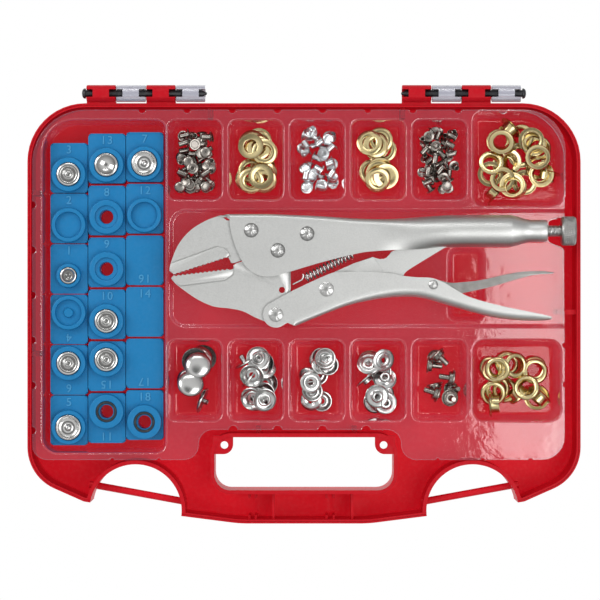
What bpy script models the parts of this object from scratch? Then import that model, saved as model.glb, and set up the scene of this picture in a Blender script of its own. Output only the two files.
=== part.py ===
"""Grommet setter: locking pliers with screw-on dies, fasteners and their carry case.

Frame: origin at the centre of the case's underside, +X to the right along the case,
+Y from the grip towards the hinges, +Z up out of the open case. Lengths are in millimetres
and become metres where a mesh is made.
"""

import math
import random

import bmesh
import bpy
from mathutils import Matrix, Vector

MM = 0.001
GAP = 0.3                      # clearance between pieces that touch

# carry case
CASE_HALF_WIDTH = 171.5
CASE_TOP_Y = 117.0
CASE_HEIGHT = 30.0
CASE_WALL = 2.4
CASE_FLOOR = 2.0
ARCH_CENTRE = (104.5, -135.5)  # latch arches, mirrored to -X
ARCH_RADIUS = 28.6
ARCH_SIDES = 36
GRIP_HALF_WIDTH = 55.6
GRIP_Y = (-123.0, -90.1)
LUG_SIZE = (11.6, 10.5)
LUG_Z = (26.6, 29.7)
LUG_HOLE_RADIUS = 2.4
LATCH_BAR_ENDS = ((134.0, -120.2), (73.6, -131.2))
LATCH_BAR_RADIUS = 2.2
LATCH_BAR_Z = 16.0
GRIP_RIB_X = (-19.0, 30.0)     # full ribs across the grip's channel
GRIP_STUB_X = (-34.0, -30.0, 14.0, 18.5)
RIB_HALF = 0.7
RIB_TOP = 24.0
POST = 3.0                     # posts under the tray's edge

# hinges on the case's top edge
HINGE_X = (-97.7, 97.7)
HINGE_Y = 123.0
HINGE_Z = CASE_HEIGHT
KNUCKLE_RADIUS = 5.25
KNUCKLE_LENGTH = 18.1
KNUCKLE_PITCH = 18.5
KNUCKLE_BORE = 2.5
KNUCKLE_SLOT = 4.0
PIN_RADIUS = 2.2

# clear tray
TRAY_TOP = 29.5
SHEET = 0.8
WELL_FLOOR = 8.0
WELL_DRAFT = 2.2
BAY_DRAFT = 1.2
WELL_PITCH = 38.0
WELL_WIDTH = 33.0
WELL_FIRST_X = -67.8
WELL_ROWS = {"top": (57.5, 106.5), "bottom": (-79.8, -30.1)}
LAST_WELL_X = (105.2, 158.8)
DIE_BAY = (-162.0, -86.1, -99.6, 106.6)
PLIERS_BAY = (-82.5, -21.2, 50.4)
PLIERS_BAY_FLOOR = 26.7

# die holders
DIE_SIZE = (23.2, 31.0, 12.0)
DIE_BOSS_RADIUS = 10.8
DIE_BOSS_HEIGHT = 5.0
DIE_BOSS_OFFSET = 4.2
DIE_COLUMNS = ((-146.6, 77.4, 31.5), (-123.0, 83.3, 32.4), (-99.4, 84.2, 32.2))
SOCKET_DEPTH = 3.0

# locking pliers, lying on their side in the tray
PLIERS_Z = 36.9
JAW_THICKNESS = 8.0
CHANNEL_INSIDE = 8.6
CHANNEL_OUTSIDE = 12.7
LEVER_INSIDE = 8.6
LEVER_OUTSIDE = 11.8
LINK_THICKNESS = 6.0
RELEASE_THICKNESS = 7.6
FRONT_RIVET = (-32.5, 37.9)
REAR_RIVET = (1.9, 35.8)
JAW_PIVOT = (-16.1, 25.5)
LEVER_PIVOT = (-17.3, -14.0)
LINK_PIVOT = (13.9, 1.6)
LINK_TIP = (96.7, 36.6)
RELEASE_PIVOT = (79.5, 4.4)
SPRING_HOLE = (-13.6, 1.2)
SPRING_ANCHOR = (32.0, 24.6)
SCREW_Y = 37.6
SCREW_RADIUS = 3.7
TUBE_RADIUS = 9.9
NECK_RADIUS = 6.9


# ---------------------------------------------------------------- shape helpers

def start_scene():
    for old in list(bpy.data.objects):
        bpy.data.objects.remove(old, do_unlink=True)
    for name in ("grommet_setter", "cutters"):
        folder = bpy.data.collections.new(name)
        bpy.context.scene.collection.children.link(folder)


def material(name, colour, roughness, metallic=0.0, alpha=1.0):
    made = bpy.data.materials.new(name)
    made.use_nodes = True
    shader = made.node_tree.nodes["Principled BSDF"]
    shader.inputs["Base Color"].default_value = (*colour, 1.0)
    shader.inputs["Roughness"].default_value = roughness
    shader.inputs["Metallic"].default_value = metallic
    shader.inputs["Alpha"].default_value = alpha
    return made


def add_object(name, mesh, finish=None):
    piece = bpy.data.objects.new(name, mesh)
    folder = "grommet_setter" if finish else "cutters"
    bpy.data.collections[folder].objects.link(piece)
    if finish:
        mesh.materials.clear()
        mesh.materials.append(finish)
        mesh.shade_smooth()
        mesh.set_sharp_from_angle(angle=math.radians(35))
    else:
        piece.hide_render = True
        piece.display_type = "WIRE"
    return piece


def from_bmesh(name, bm):
    bm.normal_update()
    bmesh.ops.recalc_face_normals(bm, faces=bm.faces)
    if bm.calc_volume(signed=True) < 0:
        bmesh.ops.reverse_faces(bm, faces=bm.faces)
    mesh = bpy.data.meshes.new(name)
    bm.to_mesh(mesh)
    bm.free()
    return add_object(name, mesh)


def rounded(corners, inset=0.0, segments=3):
    """Outline through (x, y, radius) corners given anticlockwise, moved inwards by inset."""
    count = len(corners)
    edges = []
    for i in range(count):
        start = Vector(corners[i][:2])
        run = Vector(corners[(i + 1) % count][:2]) - start
        run.normalize()
        edges.append((start + inset * Vector((-run.y, run.x)), run))
    points = []
    for i in range(count):
        base_in, run_in = edges[i - 1]
        base_out, run_out = edges[i]
        turn = run_in.cross(run_out)
        along = (base_out - base_in).cross(run_out) / turn
        vertex = base_in + along * run_in
        angle = math.atan2(turn, run_in.dot(run_out))
        radius = max(corners[i][2] - inset * math.copysign(1.0, angle), 0.0)
        if radius < 0.05:
            points.append(vertex.copy())
            continue
        tangent = radius * abs(math.tan(angle / 2))
        side = math.copysign(1.0, angle)
        first = vertex - tangent * run_in
        centre = first + side * radius * Vector((-run_in.y, run_in.x))
        arm = first - centre
        for k in range(segments + 1):
            points.append(centre + Matrix.Rotation(angle * k / segments, 2) @ arm)
    return [(p.x, p.y) for p in points]


def rectangle(x_low, x_high, y_low, y_high, radius=0.0):
    return [(x_low, y_low, radius), (x_high, y_low, radius),
            (x_high, y_high, radius), (x_low, y_high, radius)]


def arc(centre, radius, start, end, segments):
    """Points on an arc, from and to angles in degrees."""
    points = []
    for k in range(segments + 1):
        angle = math.radians(start + (end - start) * k / segments)
        points.append((centre[0] + radius * math.cos(angle), centre[1] + radius * math.sin(angle)))
    return points


def mirrored(points):
    return [(-p[0], *p[1:]) for p in reversed(points)]


def plate(name, points, z_low, z_high, bevel=0.0):
    """Flat outline in XY, raised from z_low to z_high, with its edges bevelled if asked."""
    curve = bpy.data.curves.new(name, "CURVE")
    curve.dimensions = "2D"
    curve.fill_mode = "BOTH"
    curve.extrude = (z_high - z_low) / 2 * MM
    spline = curve.splines.new("POLY")
    spline.points.add(len(points) - 1)
    for point, (x, y) in zip(spline.points, points):
        point.co = (x * MM, y * MM, 0.0, 1.0)
    spline.use_cyclic_u = True
    source = bpy.data.objects.new(name + "_outline", curve)
    source.location.z = (z_low + z_high) / 2 * MM
    bpy.data.collections["cutters"].objects.link(source)
    evaluated = evaluated_object(source)
    mesh = bpy.data.meshes.new_from_object(evaluated)
    mesh.transform(source.matrix_world)
    bm = bmesh.new()
    bm.from_mesh(mesh)
    bmesh.ops.remove_doubles(bm, verts=bm.verts, dist=0.01 * MM)
    bmesh.ops.dissolve_limit(bm, angle_limit=math.radians(1), verts=bm.verts, edges=bm.edges)
    if bevel:
        rims = [edge for edge in bm.edges if edge.calc_face_angle(0) > math.radians(60)
                and abs(edge.verts[0].co.z - edge.verts[1].co.z) < 0.01 * MM]
        bmesh.ops.bevel(bm, geom=rims, offset=bevel * MM, segments=1, affect="EDGES",
                        clamp_overlap=True)
    bmesh.ops.triangulate(bm, faces=bm.faces)
    bpy.data.objects.remove(source, do_unlink=True)
    return from_bmesh(name, bm)


def evaluated_object(source):
    bpy.context.view_layer.update()
    return source.evaluated_get(bpy.context.evaluated_depsgraph_get())


def rod(name, start, end, radius, sides=16, end_radius=None):
    """Cylinder or cone between two points."""
    start, end = Vector(start), Vector(end)
    axis = end - start
    bm = bmesh.new()
    bmesh.ops.create_cone(bm, cap_ends=True, segments=sides, radius1=radius * MM,
                          radius2=(radius if end_radius is None else end_radius) * MM,
                          depth=axis.length * MM)
    turn = axis.to_track_quat("Z", "Y").to_matrix().to_4x4()
    bm.transform(Matrix.Translation((start + end) / 2 * MM) @ turn)
    return from_bmesh(name, bm)


def block(name, low, high):
    bm = bmesh.new()
    bmesh.ops.create_cube(bm, size=1.0)
    size = [(b - a) * MM for a, b in zip(low, high)]
    middle = [(a + b) / 2 * MM for a, b in zip(low, high)]
    bm.transform(Matrix.Translation(middle) @ Matrix.Diagonal((*size, 1.0)))
    return from_bmesh(name, bm)


def turned(name, profile, place, axis=(0, 0, 1), sides=16):
    """Turn (radius, height) points, listed from the top down, about an axis through place."""
    mesh = bpy.data.meshes.new(name)
    points = [(radius * MM, 0.0, height * MM) for radius, height in profile]
    mesh.from_pydata(points, [(i, i + 1) for i in range(len(points) - 1)], [])
    source = add_object(name + "_profile", mesh)
    screw = source.modifiers.new("turn", "SCREW")
    screw.steps = sides
    screw.render_steps = sides
    screw.use_merge_vertices = True
    screw.merge_threshold = 0.01 * MM
    result = bpy.data.meshes.new_from_object(evaluated_object(source))
    bpy.data.objects.remove(source, do_unlink=True)
    turn = Vector(axis).to_track_quat("Z", "Y").to_matrix().to_4x4()
    result.transform(Matrix.Translation(Vector(place) * MM) @ turn)
    bm = bmesh.new()
    bm.from_mesh(result)
    bmesh.ops.remove_doubles(bm, verts=bm.verts, dist=0.01 * MM)
    return from_bmesh(name, bm)


def tapered(name, corners, z_low, z_high, draft, inset=0.0):
    """Loft from an outline at z_high down to the same outline drawn in by draft at z_low."""
    bm = bmesh.new()
    rings = []
    for z, drawn_in in ((z_low, inset + draft), (z_high, inset)):
        ring = [bm.verts.new((x * MM, y * MM, z * MM)) for x, y in rounded(corners, drawn_in)]
        rings.append(ring)
    bm.faces.new(list(reversed(rings[0])))
    bm.faces.new(rings[1])
    count = len(rings[0])
    for i in range(count):
        j = (i + 1) % count
        bm.faces.new((rings[0][i], rings[0][j], rings[1][j], rings[1][i]))
    return from_bmesh(name, bm)


def combine(target, tools, operation):
    """Boolean the tools into the target one after another, and drop them."""
    for tool in tools:
        step = target.modifiers.new("step", "BOOLEAN")
        step.operation = operation
        step.solver = "EXACT"
        step.object = tool
        result = bpy.data.meshes.new_from_object(evaluated_object(target))
        target.modifiers.clear()
        target.data = result
        bpy.data.objects.remove(tool, do_unlink=True)
    return target


def joined(target, *tools):
    return combine(target, tools, "UNION")


def cut(target, *tools):
    return combine(target, tools, "DIFFERENCE")


def finished(source, name, finish):
    """Clean a shape up and file it as a piece of the object."""
    bm = bmesh.new()
    bm.from_mesh(source.data)
    bmesh.ops.remove_doubles(bm, verts=bm.verts, dist=0.005 * MM)
    bmesh.ops.dissolve_degenerate(bm, edges=bm.edges, dist=0.005 * MM)
    bmesh.ops.dissolve_limit(bm, angle_limit=math.radians(0.5), verts=bm.verts, edges=bm.edges)
    bmesh.ops.triangulate(bm, faces=bm.faces)
    mesh = bpy.data.meshes.new(name)
    bm.to_mesh(mesh)
    bm.free()
    bpy.data.objects.remove(source, do_unlink=True)
    return add_object(name, mesh, finish)


def outer_shell(source):
    """Keep only the largest connected surface, so that no pocket is left shut inside."""
    bm = bmesh.new()
    bm.from_mesh(source.data)
    unseen = set(bm.verts)
    shells = []
    while unseen:
        front = [unseen.pop()]
        shell = list(front)
        while front:
            for edge in front.pop().link_edges:
                for vert in edge.verts:
                    if vert in unseen:
                        unseen.discard(vert)
                        front.append(vert)
                        shell.append(vert)
        shells.append(shell)
    largest = max(shells, key=len)
    spare = [vert for shell in shells if shell is not largest for vert in shell]
    bmesh.ops.delete(bm, geom=spare, context="VERTS")
    bm.to_mesh(source.data)
    bm.free()
    return source


def give_pivot(piece, pivot):
    """Move a piece's origin to its joint, leaving the shape where it is."""
    place = Vector(pivot) * MM
    piece.data.transform(Matrix.Translation(-place))
    piece.location = place


# ---------------------------------------------------------------- carry case

def case_outline():
    half = [(40.0, -143.6, 90.0), (79.0, -138.6, 5.0), (136.5, -130.0, 4.0),
            (CASE_HALF_WIDTH, -114.5, 28.0), (CASE_HALF_WIDTH, CASE_TOP_Y, 36.0)]
    return half + mirrored(half)


def arch_rods(name, radius):
    x, y = ARCH_CENTRE
    return [rod(name, (side * x, y, -5), (side * x, y, CASE_HEIGHT + 5), radius, ARCH_SIDES)
            for side in (-1, 1)]


def red_knuckle(group_x, place):
    """One moulded knuckle and the web that carries it on the case's wall."""
    x_low = group_x + (place - 2) * KNUCKLE_PITCH
    x_high = x_low + KNUCKLE_LENGTH
    web = block("web", (x_low, CASE_TOP_Y - 1, HINGE_Z - KNUCKLE_RADIUS),
                (x_high, HINGE_Y, HINGE_Z - 0.1))
    return joined(knuckle(x_low, x_high), web), (x_low, x_high)


def knuckle(x_low, x_high):
    """Solid round of a knuckle. Its bore and end slots are cut by knuckle_cutters."""
    return rod("knuckle", (x_low, HINGE_Y, HINGE_Z), (x_high, HINGE_Y, HINGE_Z), KNUCKLE_RADIUS)


def knuckle_cutters(x_low, x_high):
    bore = rod("bore", (x_low - 1, HINGE_Y, HINGE_Z), (x_high + 1, HINGE_Y, HINGE_Z), KNUCKLE_BORE)
    slots = []
    for low, high in ((x_low - 1, x_low + KNUCKLE_SLOT), (x_high - KNUCKLE_SLOT, x_high + 1)):
        slots.append(block("slot", (low, HINGE_Y - KNUCKLE_BORE + 0.1, HINGE_Z + 0.2),
                           (high, HINGE_Y + KNUCKLE_BORE - 0.1, HINGE_Z + KNUCKLE_RADIUS + 1)))
    return [bore, *slots]


def build_case(red):
    shell = plate("shell", rounded(case_outline(), segments=5), 0, CASE_HEIGHT)
    cut(shell, *arch_rods("arch", ARCH_RADIUS))

    grip = rectangle(-GRIP_HALF_WIDTH, GRIP_HALF_WIDTH, *GRIP_Y, 10.0)
    pocket = plate("pocket", rounded(case_outline(), CASE_WALL, 5), CASE_FLOOR, CASE_HEIGHT + 5)
    cut(pocket, *arch_rods("arch_wall", ARCH_RADIUS + CASE_WALL),
        plate("grip_wall", rounded(grip, -CASE_WALL), -5, CASE_HEIGHT + 10))
    cut(shell, pocket, plate("grip", rounded(grip), -5, CASE_HEIGHT + 5))

    lug_x = (GRIP_HALF_WIDTH - LUG_SIZE[0], GRIP_HALF_WIDTH + 1)
    lug_y = (GRIP_Y[1] - LUG_SIZE[1], GRIP_Y[1] + 1)
    for side in (-1, 1):
        corners = [(lug_x[0], lug_y[0], 6.0), (lug_x[1], lug_y[0], 0.0),
                   (lug_x[1], lug_y[1], 0.0), (lug_x[0], lug_y[1], 0.0)]
        if side < 0:
            corners = mirrored(corners)
        joined(shell, plate("lug", rounded(corners), *LUG_Z))
        centre = (side * (lug_x[0] + 5.4), lug_y[0] + 5.6)
        cut(shell, rod("lug_hole", (*centre, LUG_Z[0] - 2), (*centre, LUG_Z[1] + 2),
                       LUG_HOLE_RADIUS, 12))

        (x_out, y_out), (x_in, y_in) = LATCH_BAR_ENDS
        joined(shell, rod("latch_bar", (side * x_out, y_out, LATCH_BAR_Z),
                          (side * x_in, y_in, LATCH_BAR_Z), LATCH_BAR_RADIUS, 10))

    # stiffening ribs in the grip's channel, and posts under the tray
    channel = (-142.0, GRIP_Y[0] - 1)
    for x in GRIP_RIB_X:
        joined(shell, block("rib", (x - RIB_HALF, channel[0], 1.0), (x + RIB_HALF, channel[1], RIB_TOP)))
    for x in GRIP_STUB_X:
        for low, high in ((channel[0], channel[0] + POST), (channel[1] - POST - 1.4, channel[1])):
            joined(shell, block("stub", (x - RIB_HALF, low, 1.0), (x + RIB_HALF, high, RIB_TOP)))
    side_posts = [((-CASE_HALF_WIDTH + 1, y, 1), (-164.2, y + POST, 28.4)) for y in (60, -40)]
    side_posts += [((157.5, y, 1), (CASE_HALF_WIDTH - 1, y + POST, 25.6)) for y in (36, -14)]
    side_posts += [((x, 108.2, 1), (x + POST, CASE_TOP_Y - 1, 28.4)) for x in (-60, 60)]
    side_posts += [((x, GRIP_Y[1] + 1, 1), (x + POST, -84.0, 28.4)) for x in (-30, 30)]
    for low, high in side_posts:
        joined(shell, block("post", low, high))

    for group_x in HINGE_X:
        for place in (0, 2):
            mould, span = red_knuckle(group_x, place)
            joined(shell, mould)
            cut(shell, *knuckle_cutters(*span))
    finished(shell, "case_shell", red)


def build_hinges(clear, black):
    for side, group_x in zip(("left", "right"), HINGE_X):
        for place, letter in ((1, "a"), (3, "b")):
            x_low = group_x + (place - 2) * KNUCKLE_PITCH
            span = (x_low, x_low + KNUCKLE_LENGTH)
            piece = cut(knuckle(*span), *knuckle_cutters(*span))
            leaf = finished(piece, f"lid_knuckle_{side}_{letter}", clear)
            give_pivot(leaf, (group_x, HINGE_Y, HINGE_Z))

        # pin with a round head at its outer end and a point at the other
        reach = 2 * KNUCKLE_PITCH + 0.6
        head = 3.2
        outwards = 1 if side == "left" else -1
        profile = [(0.0, reach), (PIN_RADIUS, reach - 3.5), (PIN_RADIUS, -reach),
                   (head, -reach), (head, -reach - 1.0), (head * 0.6, -reach - 2.2),
                   (0.0, -reach - 2.4)]
        pin = turned("pin", profile, (group_x, HINGE_Y, HINGE_Z), (outwards, 0, 0), 12)
        finished(pin, f"hinge_pin_{side}", black)


# ---------------------------------------------------------------- clear tray

def wells():
    """Mouth outline of every fastener well, by name."""
    made = {}
    for row, (y_low, y_high) in WELL_ROWS.items():
        for k in range(5):
            centre = WELL_FIRST_X + k * WELL_PITCH
            made[f"{row}_{k + 1}"] = rectangle(centre - WELL_WIDTH / 2, centre + WELL_WIDTH / 2,
                                               y_low, y_high, 5.0)
        x_low, x_high = LAST_WELL_X
        if row == "top":
            made["top_6"] = [(x_low, y_low - 4, 6.0), (x_high + 2, y_low - 4, 8.0),
                             (x_high + 2, y_high + 5, 24.0), (x_low, y_high + 5, 6.0)]
        else:
            made["bottom_6"] = rectangle(x_low, x_high, y_low, y_high, 7.0)
    return made


def tray_outline():
    return [(-168.3, -104.0, 9.0), (-65.5, -104.0, 9.0), (-65.5, -85.3, 9.0),
            (60.5, -85.3, 9.0), (60.5, -104.0, 9.0), (161.5, -104.0, 14.0),
            (161.5, 26.0, 4.0), (151.5, 31.0, 3.0), (151.5, 45.0, 3.0), (161.5, 50.0, 4.0),
            (161.5, 112.8, 31.0), (-168.3, 112.8, 33.0)]


def build_tray(clear):
    tray = plate("tray_sheet", rounded(tray_outline(), segments=4), TRAY_TOP - SHEET, TRAY_TOP)
    x_low, x_high, y_low, y_high = DIE_BAY
    bay = [(x_low, y_low, 9.0), (x_high, y_low, 6.0), (x_high, y_high, 6.0), (x_low, y_high, 20.0)]
    hollows = [(corners, WELL_FLOOR, WELL_DRAFT) for corners in wells().values()]
    hollows.append((bay, WELL_FLOOR, BAY_DRAFT))

    x_left, y_low, y_high = PLIERS_BAY
    inner = rectangle(x_left, 175.0, y_low, y_high, 9.0)
    outer = rectangle(x_left, 161.5, y_low, y_high, 9.0)
    groove = (rectangle(90.0, 111.5, -17.5, 27.0, 5.0), 16.0, 2.0)

    for corners, floor, draft in hollows + [groove]:
        joined(tray, tapered("cup", corners, floor - SHEET, TRAY_TOP - 0.2, draft, -SHEET))
    joined(tray, tapered("bay", outer, PLIERS_BAY_FLOOR - SHEET, TRAY_TOP - 0.2, BAY_DRAFT, -SHEET))
    knob_notch = rectangle(151.5, 175.0, 30.0, 46.0, 3.0)
    cut(tray, tapered("bay_hollow", inner, PLIERS_BAY_FLOOR, TRAY_TOP + 1, BAY_DRAFT),
        plate("knob_notch", rounded(knob_notch), PLIERS_BAY_FLOOR - 5, TRAY_TOP + 5),
        plate("bay_end", rounded(rectangle(161.5, 180.0, -30.0, 60.0)), 20.0, 40.0))
    for corners, floor, draft in hollows + [groove]:
        cut(tray, tapered("hollow", corners, floor, TRAY_TOP + 0.5, draft))
    finished(tray, "tray", clear)


# ---------------------------------------------------------------- dies

# number: (column, row from the hinge end, upside down, what the boss carries)
DIES = {
    3: (0, 0, False, "insert"), 2: (0, 1, False, "socket"), 1: (0, 2, False, "small_insert"),
    4: (0, 3, True, "pip"), 6: (0, 4, True, "insert"), 5: (0, 5, False, "post_insert"),
    13: (1, 0, False, "dish_insert"), 8: (1, 1, False, "hole"), 9: (1, 2, False, "hole"),
    10: (1, 3, False, "insert"), 15: (1, 4, True, "insert"), 11: (1, 5, True, "ring_hole"),
    7: (2, 0, False, "post_insert"), 12: (2, 1, False, "socket"), 16: (2, 2, True, "plain"),
    14: (2, 3, False, "plain"), 17: (2, 4, True, "plain"), 18: (2, 5, False, "ring_hole"),
}
INSERT_RADIUS = {"insert": 7.2, "small_insert": 5.0, "post_insert": 7.8, "dish_insert": 7.2}


def die_place(column, row):
    x, first_y, pitch = DIE_COLUMNS[column]
    return x, first_y - row * pitch


def build_die(number, blue):
    column, row, upside_down, carries = DIES[number]
    x, y = die_place(column, row)
    z_low = WELL_FLOOR + GAP
    z_face = z_low + DIE_SIZE[2]
    body = plate("die", rounded(rectangle(x - DIE_SIZE[0] / 2, x + DIE_SIZE[0] / 2,
                                          y - DIE_SIZE[1] / 2, y + DIE_SIZE[1] / 2, 1.8), segments=2),
                 z_low, z_face)
    if carries != "plain":
        centre_y = y + (DIE_BOSS_OFFSET if upside_down else -DIE_BOSS_OFFSET)
        z_boss = z_face + DIE_BOSS_HEIGHT
        boss_radius = 7.6 if carries == "small_insert" else DIE_BOSS_RADIUS
        joined(body, rod("boss", (x, centre_y, z_face - 1), (x, centre_y, z_boss),
                         boss_radius, 16, boss_radius - 0.6))
        socket = {"socket": 8.2, "pip": 8.2, "hole": 4.2, "ring_hole": 4.2}.get(carries)
        if socket is None:
            socket = INSERT_RADIUS[carries] + GAP
        depth = z_boss - z_low + 1 if carries in ("hole", "ring_hole") else SOCKET_DEPTH
        cut(body, rod("socket", (x, centre_y, z_boss - depth), (x, centre_y, z_boss + 1), socket, 12))
        if carries == "pip":
            joined(body, rod("pip", (x, centre_y, z_boss - SOCKET_DEPTH - 0.5),
                             (x, centre_y, z_boss - 0.6), 3.0, 8))
    finished(body, f"die_{number:02d}", blue)


def insert_profile(carries, radius):
    """Turned steel insert, as (radius, height over the socket's floor), top down."""
    rim = SOCKET_DEPTH + 1.4
    if carries == "dish_insert":
        return [(0.0, rim - 1.6), (radius * 0.5, rim - 1.1), (radius - 0.8, rim),
                (radius, rim - 0.3), (radius, GAP), (0.0, GAP)]
    if carries == "post_insert":
        return [(0.0, rim + 2.2), (1.5, rim + 2.0), (1.8, rim - 1.2), (radius - 1.6, rim - 1.2),
                (radius - 0.8, rim), (radius, rim - 0.4), (radius, GAP), (0.0, GAP)]
    return [(0.0, rim + 0.8), (radius * 0.35, rim + 0.6), (radius * 0.4, rim - 0.6),
            (radius * 0.7, rim - 0.6), (radius - 0.5, rim), (radius, rim - 0.5),
            (radius, GAP), (0.0, GAP)]


def build_insert(number, steel):
    column, row, upside_down, carries = DIES[number]
    x, y = die_place(column, row)
    centre_y = y + (DIE_BOSS_OFFSET if upside_down else -DIE_BOSS_OFFSET)
    z_socket = WELL_FLOOR + GAP + DIE_SIZE[2] + DIE_BOSS_HEIGHT - SOCKET_DEPTH
    insert = turned("insert", insert_profile(carries, INSERT_RADIUS[carries]),
                    (x, centre_y, z_socket), sides=12)
    finished(insert, f"die_insert_{number:02d}", steel)


# ---------------------------------------------------------------- fasteners

# well: (what it holds, finish, outer radius, thickness, how many stand in the heap's outline)
HEAPS = {
    "top_1": ("small_rivets", "nickel", 3.4, 5.0, 7), "top_2": ("brass_washers", "brass", 8.0, 1.4, 5),
    "top_3": ("tubular_rivets", "nickel", 3.8, 5.5, 7), "top_4": ("brass_rings", "brass", 8.0, 1.4, 5),
    "top_5": ("short_posts", "nickel", 3.2, 5.0, 7), "top_6": ("brass_eyelets", "brass", 8.0, 5.0, 7),
    "bottom_1": ("snap_caps", "nickel", 8.2, 3.5, 5), "bottom_2": ("cap_posts", "nickel", 7.2, 4.0, 5),
    "bottom_3": ("snap_sockets", "nickel", 6.8, 3.6, 6), "bottom_4": ("snap_studs", "nickel", 7.4, 3.4, 5),
    "bottom_5": ("long_posts", "nickel", 5.0, 4.5, 5), "bottom_6": ("brass_grommets", "brass", 8.0, 3.6, 6),
}


def build_heap(well, corners, finishes):
    """A heap of loose fasteners as one solid: a bed with coarse discs lying on it at odd tilts."""
    kind, finish, radius, thickness, count = HEAPS[well]
    dice = random.Random(well)
    bed_top = WELL_FLOOR + GAP + 3.0
    margin = WELL_DRAFT + GAP + 2.0
    heap = plate("bed", rounded(corners, margin, 2), WELL_FLOOR + GAP, bed_top)
    xs = [c[0] for c in corners]
    ys = [c[1] for c in corners]
    room = margin + radius
    low = (min(xs) + room, min(ys) + room)
    high = (max(xs) - room, max(ys) - room)
    for k in range(count):
        share = (k + 0.5) / count
        x = low[0] + (high[0] - low[0]) * ((k * 0.618 + 0.3) % 1.0)
        y = low[1] + (high[1] - low[1]) * share
        tilt = Vector((dice.uniform(-0.35, 0.35), dice.uniform(-0.35, 0.35), 1.0)).normalized()
        middle = Vector((x, y, bed_top + radius * 0.25))
        joined(heap, rod("loose", middle - tilt * thickness / 2, middle + tilt * thickness / 2,
                         radius, 7))
    finished(outer_shell(heap), kind, finishes[finish])


# ---------------------------------------------------------------- locking pliers

def toothed(start, end, teeth, depth):
    """Saw-tooth edge from start to end; the teeth stand to the right of the way they run."""
    start, end = Vector(start), Vector(end)
    run = end - start
    out = Vector((run.y, -run.x)).normalized() * depth
    points = []
    for k in range(teeth):
        points.append(tuple(start + run * k / teeth))
        points.append(tuple(start + run * (k + 0.5) / teeth + out))
    points.append(tuple(end))
    return points


def through_hole(centre, radius):
    return rod("hole", (*centre, PLIERS_Z - 15), (*centre, PLIERS_Z + 15), radius, 14)


def flat_piece(name, points, thickness, bevel=0.0):
    return plate(name, points, PLIERS_Z - thickness / 2, PLIERS_Z + thickness / 2, bevel)


def build_fixed_jaw(steel):
    around_pivot = arc(JAW_PIVOT, 9.4, 195, -5, 8)
    outline = toothed((-81.0, 11.4), (-46.8, 22.4), 12, 1.1)
    outline += [(-44.5, 17.6), (-38.0, 19.6), (-30.0, 22.4)] + around_pivot
    outline += [(9.5, 26.5), (9.5, 42.6), (-20.0, 44.6), (-44.0, 45.2), (-46.9, 45.4),
                (-50.9, 47.6), (-60.6, 43.8), (-70.1, 37.8), (-77.4, 29.1), (-82.2, 17.7),
                (-83.1, 13.0)]
    jaw = flat_piece("fixed_jaw_blank", outline, JAW_THICKNESS)
    cut(jaw, through_hole(FRONT_RIVET, 2.8), through_hole(REAR_RIVET, 2.8))
    finished(jaw, "fixed_jaw", steel)


def build_moving_jaw(steel):
    teeth = list(reversed(toothed((-45.9, 13.3), (-81.2, 9.0), 12, 1.1)))
    outline = [(-82.2, 8.6), (-76.1, 2.9), (-66.0, -5.2), (-55.9, -8.9), (-45.9, -9.5),
               (-37.8, -11.3), (-30.4, -15.3)]
    outline += arc(LEVER_PIVOT, 7.4, 215, 350, 6)
    outline += [(-8.2, -8.0), (-8.2, 17.5)]
    outline += arc(JAW_PIVOT, 9.0, -28, 205, 10)
    outline += [(-30.0, 21.9), (-38.0, 18.9), (-43.0, 16.9), (-43.4, 14.4)]
    outline += list(reversed(teeth))
    jaw = flat_piece("moving_jaw_blank", outline, JAW_THICKNESS)
    cut(jaw, through_hole(JAW_PIVOT, 2.8), through_hole(LEVER_PIVOT, 2.8),
        through_hole(SPRING_HOLE, 1.9))
    piece = finished(jaw, "moving_jaw", steel)
    give_pivot(piece, (*JAW_PIVOT, PLIERS_Z))


def build_fixed_handle(steel):
    """Folded sheet: two cheeks closed along the back, running into a round tube and a neck."""
    outline = [(-45.9, 47.9), (-45.5, 40.5), (-43.2, 30.4), (-38.4, 18.6), (-33.7, 13.0),
               (-27.0, 9.6), (-19.0, 9.9), (-8.9, 13.0), (9.9, 18.4), (30.7, 23.4),
               (39.6, 25.2), (53.3, 25.7), (100.0, 27.4), (100.0, 46.6), (63.2, 45.4),
               (33.7, 45.3), (9.9, 46.8), (-19.0, 47.9)]
    handle = flat_piece("cheeks", outline, CHANNEL_OUTSIDE, bevel=1.2)
    axis = (0.0, SCREW_Y, PLIERS_Z)
    barrel = [(0.0, 150.0), (NECK_RADIUS, 150.0), (NECK_RADIUS, 139.0), (TUBE_RADIUS, 129.0),
              (TUBE_RADIUS, 96.0), (5.4, 40.0), (0.0, 40.0)]
    joined(handle, turned("barrel", barrel, axis, (1, 0, 0), 20))

    thread, inside = SCREW_RADIUS + GAP, TUBE_RADIUS - 2.1
    bore = [(0.0, 155.0), (thread, 155.0), (thread, 132.0), (inside, 129.5), (inside, 96.0),
            (3.6, 60.0), (0.0, 60.0)]
    slot = [(-60.0, 0.0), (62.0, 0.0), (104.0, 0.0), (104.0, 37.0), (62.0, 42.9), (33.7, 42.9),
            (9.9, 44.4), (-19.0, 45.4), (-60.0, 45.9)]
    cut(handle, flat_piece("slot", slot, CHANNEL_INSIDE),
        turned("bore", bore, axis, (1, 0, 0), 16))
    for centre in (FRONT_RIVET, REAR_RIVET, JAW_PIVOT):
        cut(handle, through_hole(centre, 2.8))
    cut(handle, through_hole((32.0, 29.0), 1.4))
    finished(handle, "fixed_handle", steel)


def rivet_profile(half_grip, shaft, head, head_height):
    """Rivet with two heads, from its top down, about its middle."""
    top = half_grip + GAP
    upper = [(0.0, top + head_height), (head * 0.6, top + head_height * 0.8),
             (head, top + head_height * 0.2), (head, top), (shaft, top)]
    return upper + [(r, -z) for r, z in reversed(upper)]


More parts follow.
